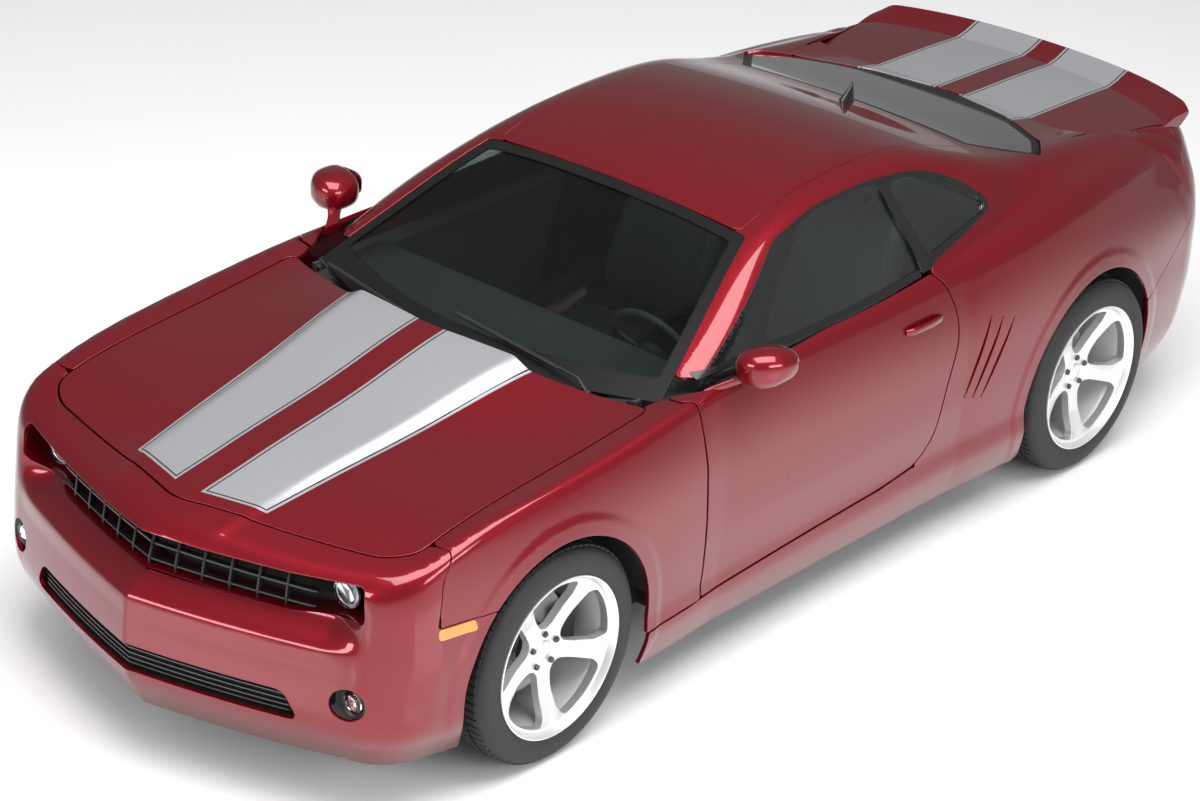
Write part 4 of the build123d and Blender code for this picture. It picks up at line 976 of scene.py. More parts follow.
# the body panels
dome = aroundPoint(1.65, 0.45)
rearDome = aroundPoint(-1.6, 0.60)
lidCross = aroundCross(-1.9, 0.50)
panelTable = [
    # name, node, body, material, slot, shape, rays, area, u span, v span, near, far, both sides
    ("hoodSkin", "hood", "hood", stripedRed, "paint", lowerBody, downward, hoodArea,
     (0.90, 2.23), (-0.80, 0.80), 0.0, 0.9, False),
    ("roofSkin", "roof_panel", "body", red, "paint", carBody, downward, roofArea,
     (-1.16, 0.26), (-0.56, 0.56), 0.3, 1.2, False),
    ("lidSkin", "trunk_lid", "trunk_lid", stripedRed, "paint", lowerBody, lidCross, lidArea,
     (-0.72, 0.72), (1.20, 2.80), 0.1, 1.1, False),
    ("deckSkin", "rear_deck", "body", stripedRed, "paint", carBody, downward, deckArea,
     (-1.80, -1.46), (-0.66, 0.66), 0.3, 1.1, False),
    ("noseSkin", "front_bumper", "body", red, "paint", lowerBody, dome, noseArea,
     (-1.75, 1.75), (-0.60, 1.0), 0.1, 1.3, False),
    ("tailSkin", "rear_bumper", "body", red, "paint", lowerBody, rearDome, tailArea,
     (-1.8, 1.8), (-0.75, 0.80), 0.1, 1.2, False),
    ("fenderSkin", "fender", "body", red, "paint", lowerBody, aroundAxis, fenderArea,
     (0.70, 1.98), (-0.40, 0.62), 0.2, 1.3, True),
    ("doorSkin", "door", "door", red, "paint", lowerBody, aroundAxis, doorArea,
     (-0.58, 0.86), (-0.36, 0.60), 0.2, 1.3, True),
    ("sideSkin", "side_body", "body", red, "paint", carBody, aroundAxis, sideArea,
     (-2.14, 1.08), (-0.50, 1.00), 0.2, 1.3, True),
]


# One object, or one for each side with the side in its name and its nodes' names.
def addSkins(name, parts, edgeway, body, slotName, look, nodes, both):
    if not both:
        dressed(meshObject(name, *parts, {"edgeway": edgeway}), body, slotName, look, *nodes)
        return
    for side, sideParts in (("left", parts), ("right", flipped(*parts))):
        obj = meshObject(f"{name}_{side}", *sideParts, {"edgeway": edgeway})
        sideBody = f"{body}_{side}" if body == "door" else body
        dressed(obj, sideBody, slotName, look, *(f"{node}_{side}" for node in nodes))


def addPanels(table):
    for (name, node, body, look, slotName, shape, rays, area, uSpan, vSpan, near, far, both) in table:
        radius = 0.85 if rays is aroundAxis else 0.8
        band = detail["gillBand"] if name == "sideSkin" else None
        parts, edgeway = panelParts(shape, rays, area, uSpan, vSpan, near, far, radius=radius, band=band)
        addSkins(name, parts, edgeway, body, slotName, look, (node,), both)
        print(name, len(parts[0]), "points")


def addDoorTrims():
    parts, edgeway = panelParts(lowerBody, aroundAxis, trimArea, (-0.58, 0.76), (-0.36, 0.50), 0.2, 1.3,
                                sink=detail["panelDepth"] + 0.002, depth=detail["trimDepth"], coarse=2.0)
    addSkins("doorTrim", parts, edgeway, "door", "trim", cabinTrim, (), True)


addPanels(panelTable)
addDoorTrims()
print("panels ready")


# glass and its trims
def outward(u, v):
    return np.stack([u, u * 0, v], 1), np.stack([u * 0, u * 0 + 1, u * 0], 1)


def forward(u, v):
    return np.stack([u * 0 + 1.5, u, v], 1), np.stack([u * 0 + 1, u * 0, u * 0], 1)


def daylightFrame(p):
    d = np.maximum(sideways(p, "daylight"), -np.minimum(sideways(p, "window"), sideways(p, "quarterWindow")))
    return np.maximum(np.maximum(d, 0.006 - lowerBody(p)), 0.001 - plan(p, "roof"))


def beltStrip(p):
    return np.maximum(np.abs(lowerBody(p) - 0.010) - 0.009, np.maximum(p[:, 0] - 0.70, -0.425 - p[:, 0]))


glassTable = [
    ("windscreenGlass", ("windscreen",), "body", screenGlass, "glass", downward, screenArea,
     (0.15, 1.22), (-0.80, 0.80), 0.61, 1.3, 0.003, 0.005, False),
    ("rearGlass", ("rear_glass",), "body", backGlass, "glass", downward, rearScreenArea,
     (-1.75, -1.05), (-0.72, 0.72), 0.61, 1.3, 0.003, 0.005, False),
    ("doorGlass", ("door_glass",), "door", tinted, "glass", outward, windowArea,
     (-0.46, 0.82), (0.92, 1.34), 0.0, 1.0, 0.006, 0.004, True),
    ("quarterGlass", ("quarter_glass",), "body", tinted, "glass", outward, quarterGlassArea,
     (-0.90, -0.45), (1.03, 1.31), 0.0, 1.0, 0.004, 0.004, True),
    ("daylightTrim", (), "body", glossBlack, "black_plastic", outward, daylightFrame,
     (-0.92, 0.84), (0.96, 1.34), 0.0, 1.0, -0.0012, 0.004, True),
    ("beltTrim", (), "door", glossBlack, "black_plastic", outward, beltStrip,
     (-0.46, 0.74), (0.95, 1.12), 0.0, 1.0, -0.002, 0.010, True),
]


def addGlass(table):
    for (name, nodes, body, look, slotName, rays, area, uSpan, vSpan, near, far, sink, depth, both) in table:
        coarse = 1.6 if slotName == "glass" else 1.0
        parts, edgeway = panelParts(glasshouse, rays, area, uSpan, vSpan, near, far, sink, depth, coarse, 1.0)
        addSkins(name, parts, edgeway, body, slotName, look, nodes, both)
        print(name, len(parts[0]), "points")


addGlass(glassTable)


# turned, swept and lofted pieces
# A closed profile of (distance along the axis, radius) turned about it. Returns points and faces.
def turnedMesh(profile, segments=96, axis="y", centre=(0, 0, 0)):
    profile = np.array(profile, float)
    angle = np.linspace(0, 2 * math.pi, segments, endpoint=False)
    along, radius = profile[:, 0], profile[:, 1]
    a = np.repeat(along[None], segments, 0)
    b = np.cos(angle)[:, None] * radius
    c = np.sin(angle)[:, None] * radius
    order = (b, a, c) if axis == "y" else (a, b, c)
    points = np.stack(order, 2).reshape(-1, 3) + np.array(centre)
    n = len(profile)
    faces = []
    for i in range(segments):
        j = (i + 1) % segments
        for k in range(n):
            l = (k + 1) % n
            faces.append((i * n + k, i * n + l, j * n + l, j * n + k))
    return points, faces


# Closed rings of equal count joined in order.
def loftMesh(rings, closeEnds=True):
    rings = [np.asarray(r, float) for r in rings]
    n = len(rings[0])
    faces = []
    for i in range(len(rings) - 1):
        for k in range(n):
            l = (k + 1) % n
            faces.append((i * n + k, i * n + l, (i + 1) * n + l, (i + 1) * n + k))
    if closeEnds:
        faces.append(tuple(range(n))[::-1])
        faces.append(tuple((len(rings) - 1) * n + k for k in range(n)))
    return np.concatenate(rings), faces


# A bar of rounded section along a path, its ends drawn in.
def sweptBar(path, width, height, up=(0, 0, 1), sides=12, power=0.5):
    path = np.asarray(path, float)
    run = np.gradient(path, axis=0)
    run /= np.linalg.norm(run, axis=1)[:, None]
    side = np.cross(run, np.asarray(up, float))
    side /= np.linalg.norm(side, axis=1)[:, None]
    top = np.cross(side, run)
    angle = np.linspace(0, 2 * math.pi, sides, endpoint=False)
    cx = np.sign(np.cos(angle)) * np.abs(np.cos(angle)) ** power
    cz = np.sign(np.sin(angle)) * np.abs(np.sin(angle)) ** power
    rings = []
    last = len(path) - 1
    for i, (p, s, t) in enumerate(zip(path, side, top)):
        shrink = 0.72 if i in (0, last) else 1.0
        rings.append(p + (s[None] * cx[:, None] * width / 2 + t[None] * cz[:, None] * height / 2) * shrink)
    return loftMesh(rings)


# One object of several (points, faces), normals outward, smooth but for its sharp edges.
def solidObject(name, shells, sharp=35):
    points, faces, start = [], [], 0
    for p, f in shells:
        points.append(p)
        faces += [tuple(i + start for i in face) for face in f]
        start += len(p)
    mesh = bpy.data.meshes.new(name)
    mesh.from_pydata(np.concatenate(points).tolist(), [], faces)
    mesh.update()
    work = bmesh.new()
    work.from_mesh(mesh)
    bmesh.ops.recalc_face_normals(work, faces=work.faces)
    work.to_mesh(mesh)
    work.free()
    mesh.shade_smooth()
    mesh.set_sharp_from_angle(angle=math.radians(sharp))
    obj = bpy.data.objects.new(name, mesh)
    bpy.context.collection.objects.link(obj)
    return obj


def mirroredPieces(shells):
    turn = np.array([1, -1, 1])
    return shells + [(p * turn, [tuple(face)[::-1] for face in f]) for p, f in shells]


# The cover's x at each y and z of the nose.
def frontX(y, z):
    y, z = np.broadcast_arrays(np.asarray(y, float), np.asarray(z, float))
    return landed(lowerBody, forward, y.ravel(), z.ravel(), 0.0, 1.2)[:, 0].reshape(y.shape)


# repeated pieces, laid out by geometry nodes
# Copies of obj's mesh set round the y axis: radial along its x, along the ring its y, across its z.
def ringed(obj, count, radius, look, rows=((0.0, 0.0),)):
    tree = bpy.data.node_groups.new(obj.name + "Ring", "GeometryNodeTree")
    tree.interface.new_socket("Geometry", in_out="INPUT", socket_type="NodeSocketGeometry")
    countSocket = tree.interface.new_socket("Count", in_out="INPUT", socket_type="NodeSocketInt")
    radiusSocket = tree.interface.new_socket("Radius", in_out="INPUT", socket_type="NodeSocketFloat")
    tree.interface.new_socket("Geometry", in_out="OUTPUT", socket_type="NodeSocketGeometry")
    nodes, links = tree.nodes, tree.links
    start, end = nodes.new("NodeGroupInput"), nodes.new("NodeGroupOutput")
    join = nodes.new("GeometryNodeJoinGeometry")
    for across, phase in rows:
        circle = nodes.new("GeometryNodeMeshCircle")
        links.new(start.outputs[1], circle.inputs["Vertices"])
        links.new(start.outputs[2], circle.inputs["Radius"])
        turn = nodes.new("ShaderNodeMath")
        turn.operation = "DIVIDE"
        turn.inputs[0].default_value = 2 * math.pi
        links.new(start.outputs[1], turn.inputs[1])
        angle = nodes.new("ShaderNodeMath")
        angle.operation = "MULTIPLY"
        links.new(nodes.new("GeometryNodeInputIndex").outputs[0], angle.inputs[0])
        links.new(turn.outputs[0], angle.inputs[1])
        spin = nodes.new("ShaderNodeCombineXYZ")
        links.new(angle.outputs[0], spin.inputs["Z"])
        copies = nodes.new("GeometryNodeInstanceOnPoints")
        links.new(circle.outputs[0], copies.inputs["Points"])
        links.new(start.outputs[0], copies.inputs["Instance"])
        links.new(spin.outputs[0], copies.inputs["Rotation"])
        shift = nodes.new("GeometryNodeTransform")
        shift.inputs["Translation"].default_value = (0, 0, across)
        shift.inputs["Rotation"].default_value = (0, 0, phase)
        links.new(copies.outputs[0], shift.inputs["Geometry"])
        links.new(shift.outputs[0], join.inputs[0])
    realize = nodes.new("GeometryNodeRealizeInstances")
    links.new(join.outputs[0], realize.inputs[0])
    stand = nodes.new("GeometryNodeTransform")
    stand.inputs["Rotation"].default_value = (math.pi / 2, 0, 0)
    links.new(realize.outputs[0], stand.inputs["Geometry"])
    dress = nodes.new("GeometryNodeSetMaterial")
    dress.inputs["Material"].default_value = look
    links.new(stand.outputs[0], dress.inputs["Geometry"])
    links.new(dress.outputs[0], end.inputs[0])
    modifier = obj.modifiers.new("ring", "NODES")
    modifier.node_group = tree
    modifier[countSocket.identifier] = count
    modifier[radiusSocket.identifier] = radius
    evaluated = obj.evaluated_get(bpy.context.evaluated_depsgraph_get())
    mesh = bpy.data.meshes.new_from_object(evaluated)
    obj.modifiers.remove(modifier)
    obj.data = mesh
    return obj


# The mesh moved to a wheel, mirrored for the right side; the object stays at the origin.
def shifted(obj, spot, side):
    matrix = Matrix.Translation(spot) @ Matrix.Diagonal((1, side, 1, 1))
    obj.data.transform(matrix)
    if side < 0:
        obj.data.flip_normals()
    obj.data.update()
    return obj


# wheels; lengths in metres from the axle or from the middle of the tread
wheelForm = {
    "corners": {"fl": (axleFront, halfTrackFront), "fr": (axleFront, -halfTrackFront),
                "rl": (axleRear, halfTrackRear), "rr": (axleRear, -halfTrackRear)},
    "widths": {"f": 0.245, "r": 0.275},
    "spokeLow": [(0.03, 0.032), (0.13, 0.027), (0.20, 0.034), (0.246, 0.060), (0.27, 0.075)],
    "spokeHigh": [(0.03, 0.032), (0.12, 0.028), (0.214, 0.031), (0.249, 0.046), (0.27, 0.055)],
    "face": [(0.0, 0.052), (0.05, 0.052), (0.15, 0.072), (0.22, 0.096), (0.246, 0.104), (0.27, 0.108)],
    "faceHalf": 0.1225,       # half the width that the face's heights are given for
    "spokes": 5,
    "hub": 0.076,
    "ringInner": 0.243,
    "ringOuter": 0.262,
    "crown": 0.0045,
    "spokeDepth": 0.030,
    "lugRing": 0.057,
    "radius": axleHeight,
    "treadBase": 0.3585,
    "treadPitch": 74,         # blocks round a tyre
    # share of the pitch, share of the half width, rounding, how far the block's middle lies under the
    # tread, and its rows as a share of the half width and a turn
    "treadRows": {"treadMiddle": (0.86, 0.36, 0.0012, 0.0042, ((0.19, 0.0), (-0.19, 0.04))),
                  "treadEdge": (0.80, 0.33, 0.0015, 0.0062, ((0.62, 0.02), (-0.62, 0.06)))},
}


# Distance outside the nearest spoke, and how far across it as a share of its half width.
def spokeShape(x, z):
    pitch = 2 * math.pi / wheelForm["spokes"]
    r, angle = np.hypot(x, z), np.arctan2(z, x)
    turn = (angle + math.pi / 2 + pitch / 2) % pitch - pitch / 2
    along, across = r * np.cos(turn), r * np.sin(turn)
    low = np.interp(along, *zip(*wheelForm["spokeLow"]))
    high = np.interp(along, *zip(*wheelForm["spokeHigh"]))
    return np.maximum(across - high, -across - low), across / np.where(across > 0, high, low)


def wheelArea(p):
    x, z = p[:, 0], p[:, 2]
    r = np.hypot(x, z)
    spoke = spokeShape(x, z)[0]
    ring = np.maximum(wheelForm["ringInner"] - r, r - wheelForm["ringOuter"])
    d = -softMax(-np.maximum(spoke, r - 0.25), -(r - wheelForm["hub"]), 0.02)
    return -softMax(-d, -ring, 0.022)


def wheelSurface(half):
    def shape(p):
        r = np.hypot(p[:, 0], p[:, 2])
        share = np.clip(spokeShape(p[:, 0], p[:, 2])[1], -1, 1)
        height = np.interp(r, *zip(*wheelForm["face"])) + (half - wheelForm["faceHalf"])
        height -= wheelForm["crown"] * share ** 2 * ease(0.06, 0.12, r) * ease(0.25, 0.22, r)
        return p[:, 1] - height
    return shape


def roundedBlock(sizeX, sizeY, sizeZ, bevel):
    mesh = bpy.data.meshes.new("block")
    work = bmesh.new()
    bmesh.ops.create_cube(work, size=1)
    bmesh.ops.scale(work, vec=(sizeX, sizeY, sizeZ), verts=work.verts)
    bmesh.ops.bevel(work, geom=work.edges[:], offset=bevel, segments=2, profile=0.6, affect="EDGES")
    work.to_mesh(mesh)
    work.free()
    obj = bpy.data.objects.new("block", mesh)
    bpy.context.collection.objects.link(obj)
    return obj


def spokesObject(corner, spot, side, half):
    surface = wheelSurface(half)
    span = (-0.268, 0.268)
    p, faces = clippedGrid(surface, outward, wheelArea, span, span, (104, 104), 0.0, 0.25)
    n = slopes(surface, p, 0.003)
    n /= np.linalg.norm(n, axis=1)[:, None]
    out = areaAway(wheelArea, p, n)
    parts = thickened(p, faces, n, out, wheelForm["spokeDepth"], inward=(0, -1, 0))
    if side < 0:
        parts = flipped(*parts)
    return meshObject(f"spokes_{corner}", parts[0] + np.array(spot), *parts[1:])


def barrelProfile(half):
    return [(half + 0.002, 0.2705), (half + 0.003, 0.267), (half + 0.001, 0.264), (half - 0.010, 0.259),
            (half - 0.020, 0.250), (half * 0.5, 0.243), (-half * 0.6, 0.232), (-half, 0.240),
            (-half - 0.002, 0.268), (-half + 0.006, 0.268), (-half + 0.010, 0.252), (-half * 0.6, 0.245),
            (half * 0.5, 0.252), (half - 0.014, 0.264), (half - 0.006, 0.2705)]


def capProfile(face):
    return [(face - 0.01, 0.0005), (face - 0.01, 0.034), (face + 0.002, 0.0335), (face + 0.004, 0.031),
            (face + 0.0065, 0.018), (face + 0.007, 0.0005)]


# One side wall from the bead to the shoulder, the tread with its groove, and the same again mirrored.
def tyreProfile(half):
    tread = wheelForm["treadBase"]
    wall = [(half - 0.008, 0.262), (half - 0.003, 0.2705), (half - 0.0015, 0.275), (half - 0.0, 0.290),
            (half - 0.0005, 0.315), (half - 0.0045, 0.335), (half - 0.011, 0.347), (half - 0.021, 0.3545)]
    top = [(half - 0.034, tread), (half * 0.45, tread), (half * 0.43, tread - 0.004),
           (half * 0.37, tread - 0.004), (half * 0.35, tread + 0.001)]
    return wall + top + [(-y, r) for y, r in reversed(wall + top)]


def treadBlocks(name, corner, half):
    ofPitch, ofHalf, bevel, under, rows = wheelForm["treadRows"][name]
    count = wheelForm["treadPitch"]
    pitch = 2 * math.pi * wheelForm["treadBase"] / count
    block = roundedBlock(0.008, pitch * ofPitch, half * ofHalf, bevel)
    block.name = f"{name}_{corner}"
    ringed(block, count, wheelForm["radius"] - under, rubber, [(half * share, turn) for share, turn in rows])
    block.data.shade_smooth()
    block.data.set_sharp_from_angle(angle=math.radians(35))
    return block


def lugNuts(corner, face):
    profile = [(0.0, 0.0004), (0.0, 0.0105), (0.010, 0.0105), (0.013, 0.008), (0.014, 0.0004)]
    nut = solidObject(f"lugNuts_{corner}", [turnedMesh(profile, 6, axis="x")], 30)
    nut.data.transform(Matrix.Rotation(math.pi / 2, 4, "Y"))
    ringed(nut, wheelForm["spokes"], wheelForm["lugRing"], castIron, ((0.0, math.radians(18)),))
    nut.data.transform(Matrix.Translation((0, face - 0.001, 0)))
    return nut


def addWheel(corner, spot):
    side = 1 if spot[1] > 0 else -1
    half = wheelForm["widths"][corner[0]] / 2
    body = f"wheel_{corner}"
    face = wheelForm["face"][0][1] + half - wheelForm["faceHalf"]
    dressed(spokesObject(corner, spot, side, half), body, "rim", wheelSilver, f"rim_{corner}")
    barrel = solidObject(f"rimBarrel_{corner}", [turnedMesh(barrelProfile(half), 120)])
    dressed(shifted(barrel, spot, side), body, "rim", wheelSilver)
    cap = solidObject(f"hubCap_{corner}", [turnedMesh(capProfile(face), 48)])
    dressed(shifted(cap, spot, side), body, "rim", wheelSilver)
    tyre = solidObject(f"tyreCase_{corner}", [turnedMesh(tyreProfile(half), 144)], 50)
    dressed(shifted(tyre, spot, side), body, "tyre", rubber, f"tyre_{corner}")
    for name in wheelForm["treadRows"]:
        dressed(shifted(treadBlocks(name, corner, half), spot, side), body, "tyre", rubber)
    dressed(shifted(lugNuts(corner, face), spot, side), body, "rim", castIron)


for corner, spot in wheelForm["corners"].items():
    addWheel(corner, (*spot, axleHeight))
print("wheels ready")


# lamps, grilles and other small pieces
lampForm = {
    "head": {"spot": (0.625, 0.718), "back": 0.105, "scale": 1.15},     # y and z, and how far behind the skin
    "fog": {"spot": places["fog"][:2], "back": 0.022, "scale": 1.0},
}
lampTable = [
    # name, lamp, profile of (distance ahead, radius), slot, material and the nodes it stands for
    ("lampBowls", "head", [(-0.030, 0.001), (-0.030, 0.046), (0.004, 0.046), (0.006, 0.044), (0.004, 0.041),
                           (-0.012, 0.030), (-0.020, 0.022), (-0.022, 0.001)],
     "lamp_lens", glossBlack, ("headlamps",)),
    ("lampHalos", "head", [(0.002, 0.0405), (0.006, 0.0395), (0.008, 0.0370), (0.006, 0.0345),
                           (0.002, 0.0335)],
     "lamp_lens", lampGlow, ()),
    ("lampProjectors", "head", [(-0.020, 0.0006), (-0.020, 0.023), (-0.008, 0.0235), (-0.004, 0.022),
                                (0.000, 0.0185), (0.004, 0.012), (0.006, 0.0006)],
     "lamp_lens", chrome, ()),
    ("lampCovers", "head", [(0.006, 0.0006), (0.006, 0.044), (0.009, 0.0445), (0.014, 0.040), (0.019, 0.025),
                            (0.021, 0.0006)],
     "lamp_lens", clearGlass, ()),
    ("fogBezels", "fog", [(-0.020, 0.030), (-0.020, 0.056), (-0.006, 0.0565), (-0.004, 0.050),
                          (-0.010, 0.040), (-0.016, 0.031)],
     "black_plastic", satinBlack, ()),
    ("fogReflectors", "fog", [(-0.022, 0.0006), (-0.022, 0.036), (-0.006, 0.037), (-0.002, 0.034),
                              (-0.010, 0.024), (-0.014, 0.0006)],
     "lamp_lens", chrome, ()),
    ("fogLenses", "fog", [(-0.006, 0.0006), (-0.006, 0.035), (-0.002, 0.0345), (0.004, 0.024),
                          (0.006, 0.0006)],
     "lamp_lens", clearGlass, ("fog_lamps",)),
]


# Each lamp piece is turned about an axis along the car, at both sides.
def addLamps(table):
    for name, lamp, profile, slotName, look, nodes in table:
        spot, scale = lampForm[lamp]["spot"], lampForm[lamp]["scale"]
        centre = (float(frontX(*spot)) - lampForm[lamp]["back"], *spot)
        sized = [(along, radius * scale) for along, radius in profile]
        pair = mirroredPieces([turnedMesh(sized, 64, axis="x", centre=centre)])
        dressed(solidObject(name, pair), "body", slotName, look, *nodes)


addLamps(lampTable)


openingForm = {
    # how far back the wall of each opening runs, and how much it widens there
    "upperOpening": (0.105, 0.004),
    "lowerOpening": (0.050, 0.003),
    "thickness": 0.006,
    "spacing": 0.014,
}


# The wall that runs back from an opening's edge, with a rolled lip.
def openingWall(outlineName):
    depth, grow = openingForm[outlineName]
    thickness = openingForm["thickness"]
    outline = frontOutlines[outlineName]
    dense = []
    for a, b in zip(outline, np.roll(outline, -1, 0)):
        steps = max(1, int(np.hypot(*(b - a)) / openingForm["spacing"]))
        dense += [a + (b - a) * t for t in np.arange(steps) / steps]
    ring = np.array(dense)
    x = frontX(ring[:, 0], ring[:, 1])
    base = np.stack([x, ring[:, 0], ring[:, 1]], 1)
    base += facing(lowerBody, base) * relief(base)[:, None] * np.array([1, 0, 0])
    middle = ring.mean(0)
    outwards = (ring - middle) / np.linalg.norm(ring - middle, axis=1)[:, None]
    rows = []
    section = ((0.004, 0.002), (0.012, 0.000), (depth, grow), (depth, grow + thickness), (0.010, thickness))
    for back, out in section:
        row = base.copy()
        row[:, 0] -= back
        row[:, 1:] += outwards * out
        rows.append(row)
    points = np.concatenate(rows)
    n, faces = len(ring), []
    for k in range(len(rows)):
        k2 = (k + 1) % len(rows)
        for i in range(n):
            j = (i + 1) % n
            faces.append((k * n + i, k * n + j, k2 * n + j, k2 * n + i))
    return points, faces


upperWall = openingWall("upperOpening")
lowerWall = openingWall("lowerOpening")
dressed(solidObject("openingDuct", [upperWall], 40), "body", "paint", red)
dressed(solidObject("lowerDuct", [lowerWall], 40), "body", "black_plastic", satinBlack)


def backPanel(name, outlineName, sink, grow, look):
    def area(p):
        return frontal(p, outlineName) - grow

    box = frontOutlines[outlineName]
    low, high = box.min(0) - grow - 0.02, box.max(0) + grow + 0.02
    parts = panelParts(lowerBody, forward, area, (low[0], high[0]), (low[1], high[1]), 0.0, 1.2,
                       depth=0.004, coarse=1.6, radius=1.0)[0]
    parts[0][:, 0] -= sink
    obj = meshObject(name, *parts)
    return dressed(obj, "body", "black_plastic", look)


# Painted shade: a near-black sheet sunk behind each opening stands in for the shade inside it.
backPanel("upperVoidShade", "upperOpening", 0.112, 0.010, voidShade)
backPanel("lowerVoidShade", "lowerOpening", 0.050, 0.008, voidShade)


def followNose(ys, z, sink):
    ys = np.asarray(ys, float)
    x = frontX(ys, np.full(len(ys), z)) - sink
    return np.stack([x, ys, np.full(len(ys), z)], 1)


grilleForm = {
    "upperRows": (0.660, 0.7075, 0.755),          # heights of the bars that run across
    "upperHalf": 0.55,
    "uprights": 5,                                # at each side of the middle one
    "uprightPitch": 0.092,
    "uprightSpan": (0.640, 0.772),
    "lowerRows": (0.334, 0.352, 0.370, 0.388),
    "lowerHalf": 0.535,
}


def noseBars(heights, half, sink, width, height, power):
    ys = np.linspace(-half, half, 61)
    return [sweptBar(followNose(ys, z, sink), width, height, power=power) for z in heights]


def uprightBars():
    zs = np.linspace(*grilleForm["uprightSpan"], 7)
    bars = []
    for index in range(-grilleForm["uprights"], grilleForm["uprights"] + 1):
        y = np.full(7, index * grilleForm["uprightPitch"])
        path = np.stack([frontX(y, zs) - 0.083, y, zs], 1)
        bars.append(sweptBar(path, 0.009, 0.024, up=(1, 0, 0), power=0.4))
    return bars


def addGrilles():
    crate = noseBars(grilleForm["upperRows"], grilleForm["upperHalf"], 0.085, 0.022, 0.009, 0.4)
    crate += uprightBars()
    dressed(solidObject("eggCrate", crate, 30), "body", "black_plastic", glossBlack, "upper_grille")
    lower = noseBars(grilleForm["lowerRows"], grilleForm["lowerHalf"], 0.024, 0.012, 0.0052, 0.6)
    lowerGrille = solidObject("lowerBars", lower, 30)
    darkChrome = plain("darkChrome", (0.16, 0.16, 0.165), 0.05, metallic=0.9, roughness=0.25)
    dressed(lowerGrille, "body", "black_plastic", darkChrome, "lower_grille")


addGrilles()
smallPanels = [
    # name, nodes, material, slot, shape, rays, area, u span, v span, near, far, sink, depth
    ("tailLenses", ("tail_lamps",), tailRed, "tail_lens", lowerBody, rearDome,
     lambda p: lampBlocks(p, -0.001), (-1.2, 1.2), (0.20, 0.60), 0.1, 1.2, 0.002, 0.012),
    ("markerLenses", ("side_markers",), amber, "amber_lens", lowerBody, aroundAxis,
     lambda p: sideways(p, "marker"), (1.80, 2.02), (-0.05, 0.15), 0.2, 1.3, -0.0015, 0.004),
    ("gillBacks", (), red, "paint", carBody, aroundAxis, lambda p: gillSlots(p) - 0.008,
     (-0.90, -0.54), (-0.15, 0.32), 0.2, 1.3, 0.010, 0.003),
    ("plateBack", (), satinBlack, "black_plastic", lowerBody, rearDome, lambda p: plateArea(p) - 0.006,
     (-0.35, 0.35), (-0.20, 0.25), 0.1, 1.2, 0.015, 0.003),
]


def addSmallPanels(table):
    for name, nodes, look, slotName, shape, rays, area, uSpan, vSpan, near, far, sink, depth in table:
        parts = panelParts(shape, rays, area, uSpan, vSpan, near, far, sink, depth, 0.6, 0.9)[0]
        if rays is aroundAxis:
            parts = combined([parts, flipped(*parts)])
        dressed(meshObject(name, *parts), "body", slotName, look, *nodes)


addSmallPanels(smallPanels)
print("lamps and grilles ready")

mirrorForm = {
    # y, front, back, low and high of each ring, from the foot out to the tip
    "rings": ((0.866, 0.606, 0.544, 1.030, 1.072), (0.875, 0.634, 0.520, 1.012, 1.096),
              (0.900, 0.654, 0.498, 1.000, 1.115), (0.940, 0.660, 0.487, 0.996, 1.126),
              (0.980, 0.648, 0.484, 1.002, 1.126), (1.007, 0.622, 0.487, 1.016, 1.116),
              (1.023, 0.592, 0.496, 1.034, 1.100), (1.031, 0.560, 0.510, 1.052, 1.084)),
    "footStart": (0.690, 0.835, 0.978),
    "footEnd": (0.600, 0.905, 1.022),
    "plateMiddle": (0.955, 1.062),
    "plateHalf": (0.058, 0.042),
    "plateSteps": ((0.4880, 1.0), (0.4835, 1.0), (0.4825, 0.97)),     # x, and the share of its full size
}
handleForm = {
    "span": (-0.262, -0.452),
    "turn": 0.31,             # radians up round the side
    "stand": 0.019,           # how far the bar bows out
    "size": (0.014, 0.027),
}


# A ring between a circle, at power 1, and a square.
def superRing(power, count=40):
    angle = np.linspace(0, 2 * math.pi, count, endpoint=False)
    c, s = np.cos(angle), np.sin(angle)
    return np.sign(c) * np.abs(c) ** power, np.sign(s) * np.abs(s) ** power


# The shell of the door mirror: rings across the car, blunt at the back and drawn to a round tip.
def mirrorHousing():
    rings = []
    c, s = superRing(0.72)
    for y, front, back, low, high in mirrorForm["rings"]:
        x, z = (front + back) / 2, (low + high) / 2
        rings.append(np.stack([x + c * (front - back) / 2, np.full(len(c), y), z + s * (high - low) / 2], 1))
    foot = []
    start, end = np.array(mirrorForm["footStart"]), np.array(mirrorForm["footEnd"])
    for t in np.linspace(0, 1, 9):
        wide = 0.044 - 0.012 * math.sin(math.pi * t)
        foot.append(start * (1 - t) + end * t + np.stack([c * wide, c * 0, s * 0.016], 1))
    return [loftMesh(rings), loftMesh(foot)]


def mirrorPlate(sign):
    c, s = superRing(0.6)
    (y, z), (halfY, halfZ) = mirrorForm["plateMiddle"], mirrorForm["plateHalf"]
    rings = []
    for x, grow in mirrorForm["plateSteps"]:
        rings.append(np.stack([np.full(len(c), x), (y + c * halfY * grow) * sign, z + s * halfZ * grow], 1))
    return loftMesh(rings)


def handleBar(turn):
    x = np.linspace(*handleForm["span"], 15)
    skin = landed(lowerBody, aroundAxis, x, np.full(15, handleForm["turn"]), 0.2, 1.3)
    bow = np.sin(np.linspace(0, math.pi, 15)) ** 0.35
    path = skin + facing(lowerBody, skin) * (0.002 + handleForm["stand"] * bow)[:, None]
    return sweptBar(path * turn, *handleForm["size"], up=(0, 0, 1), power=0.7)


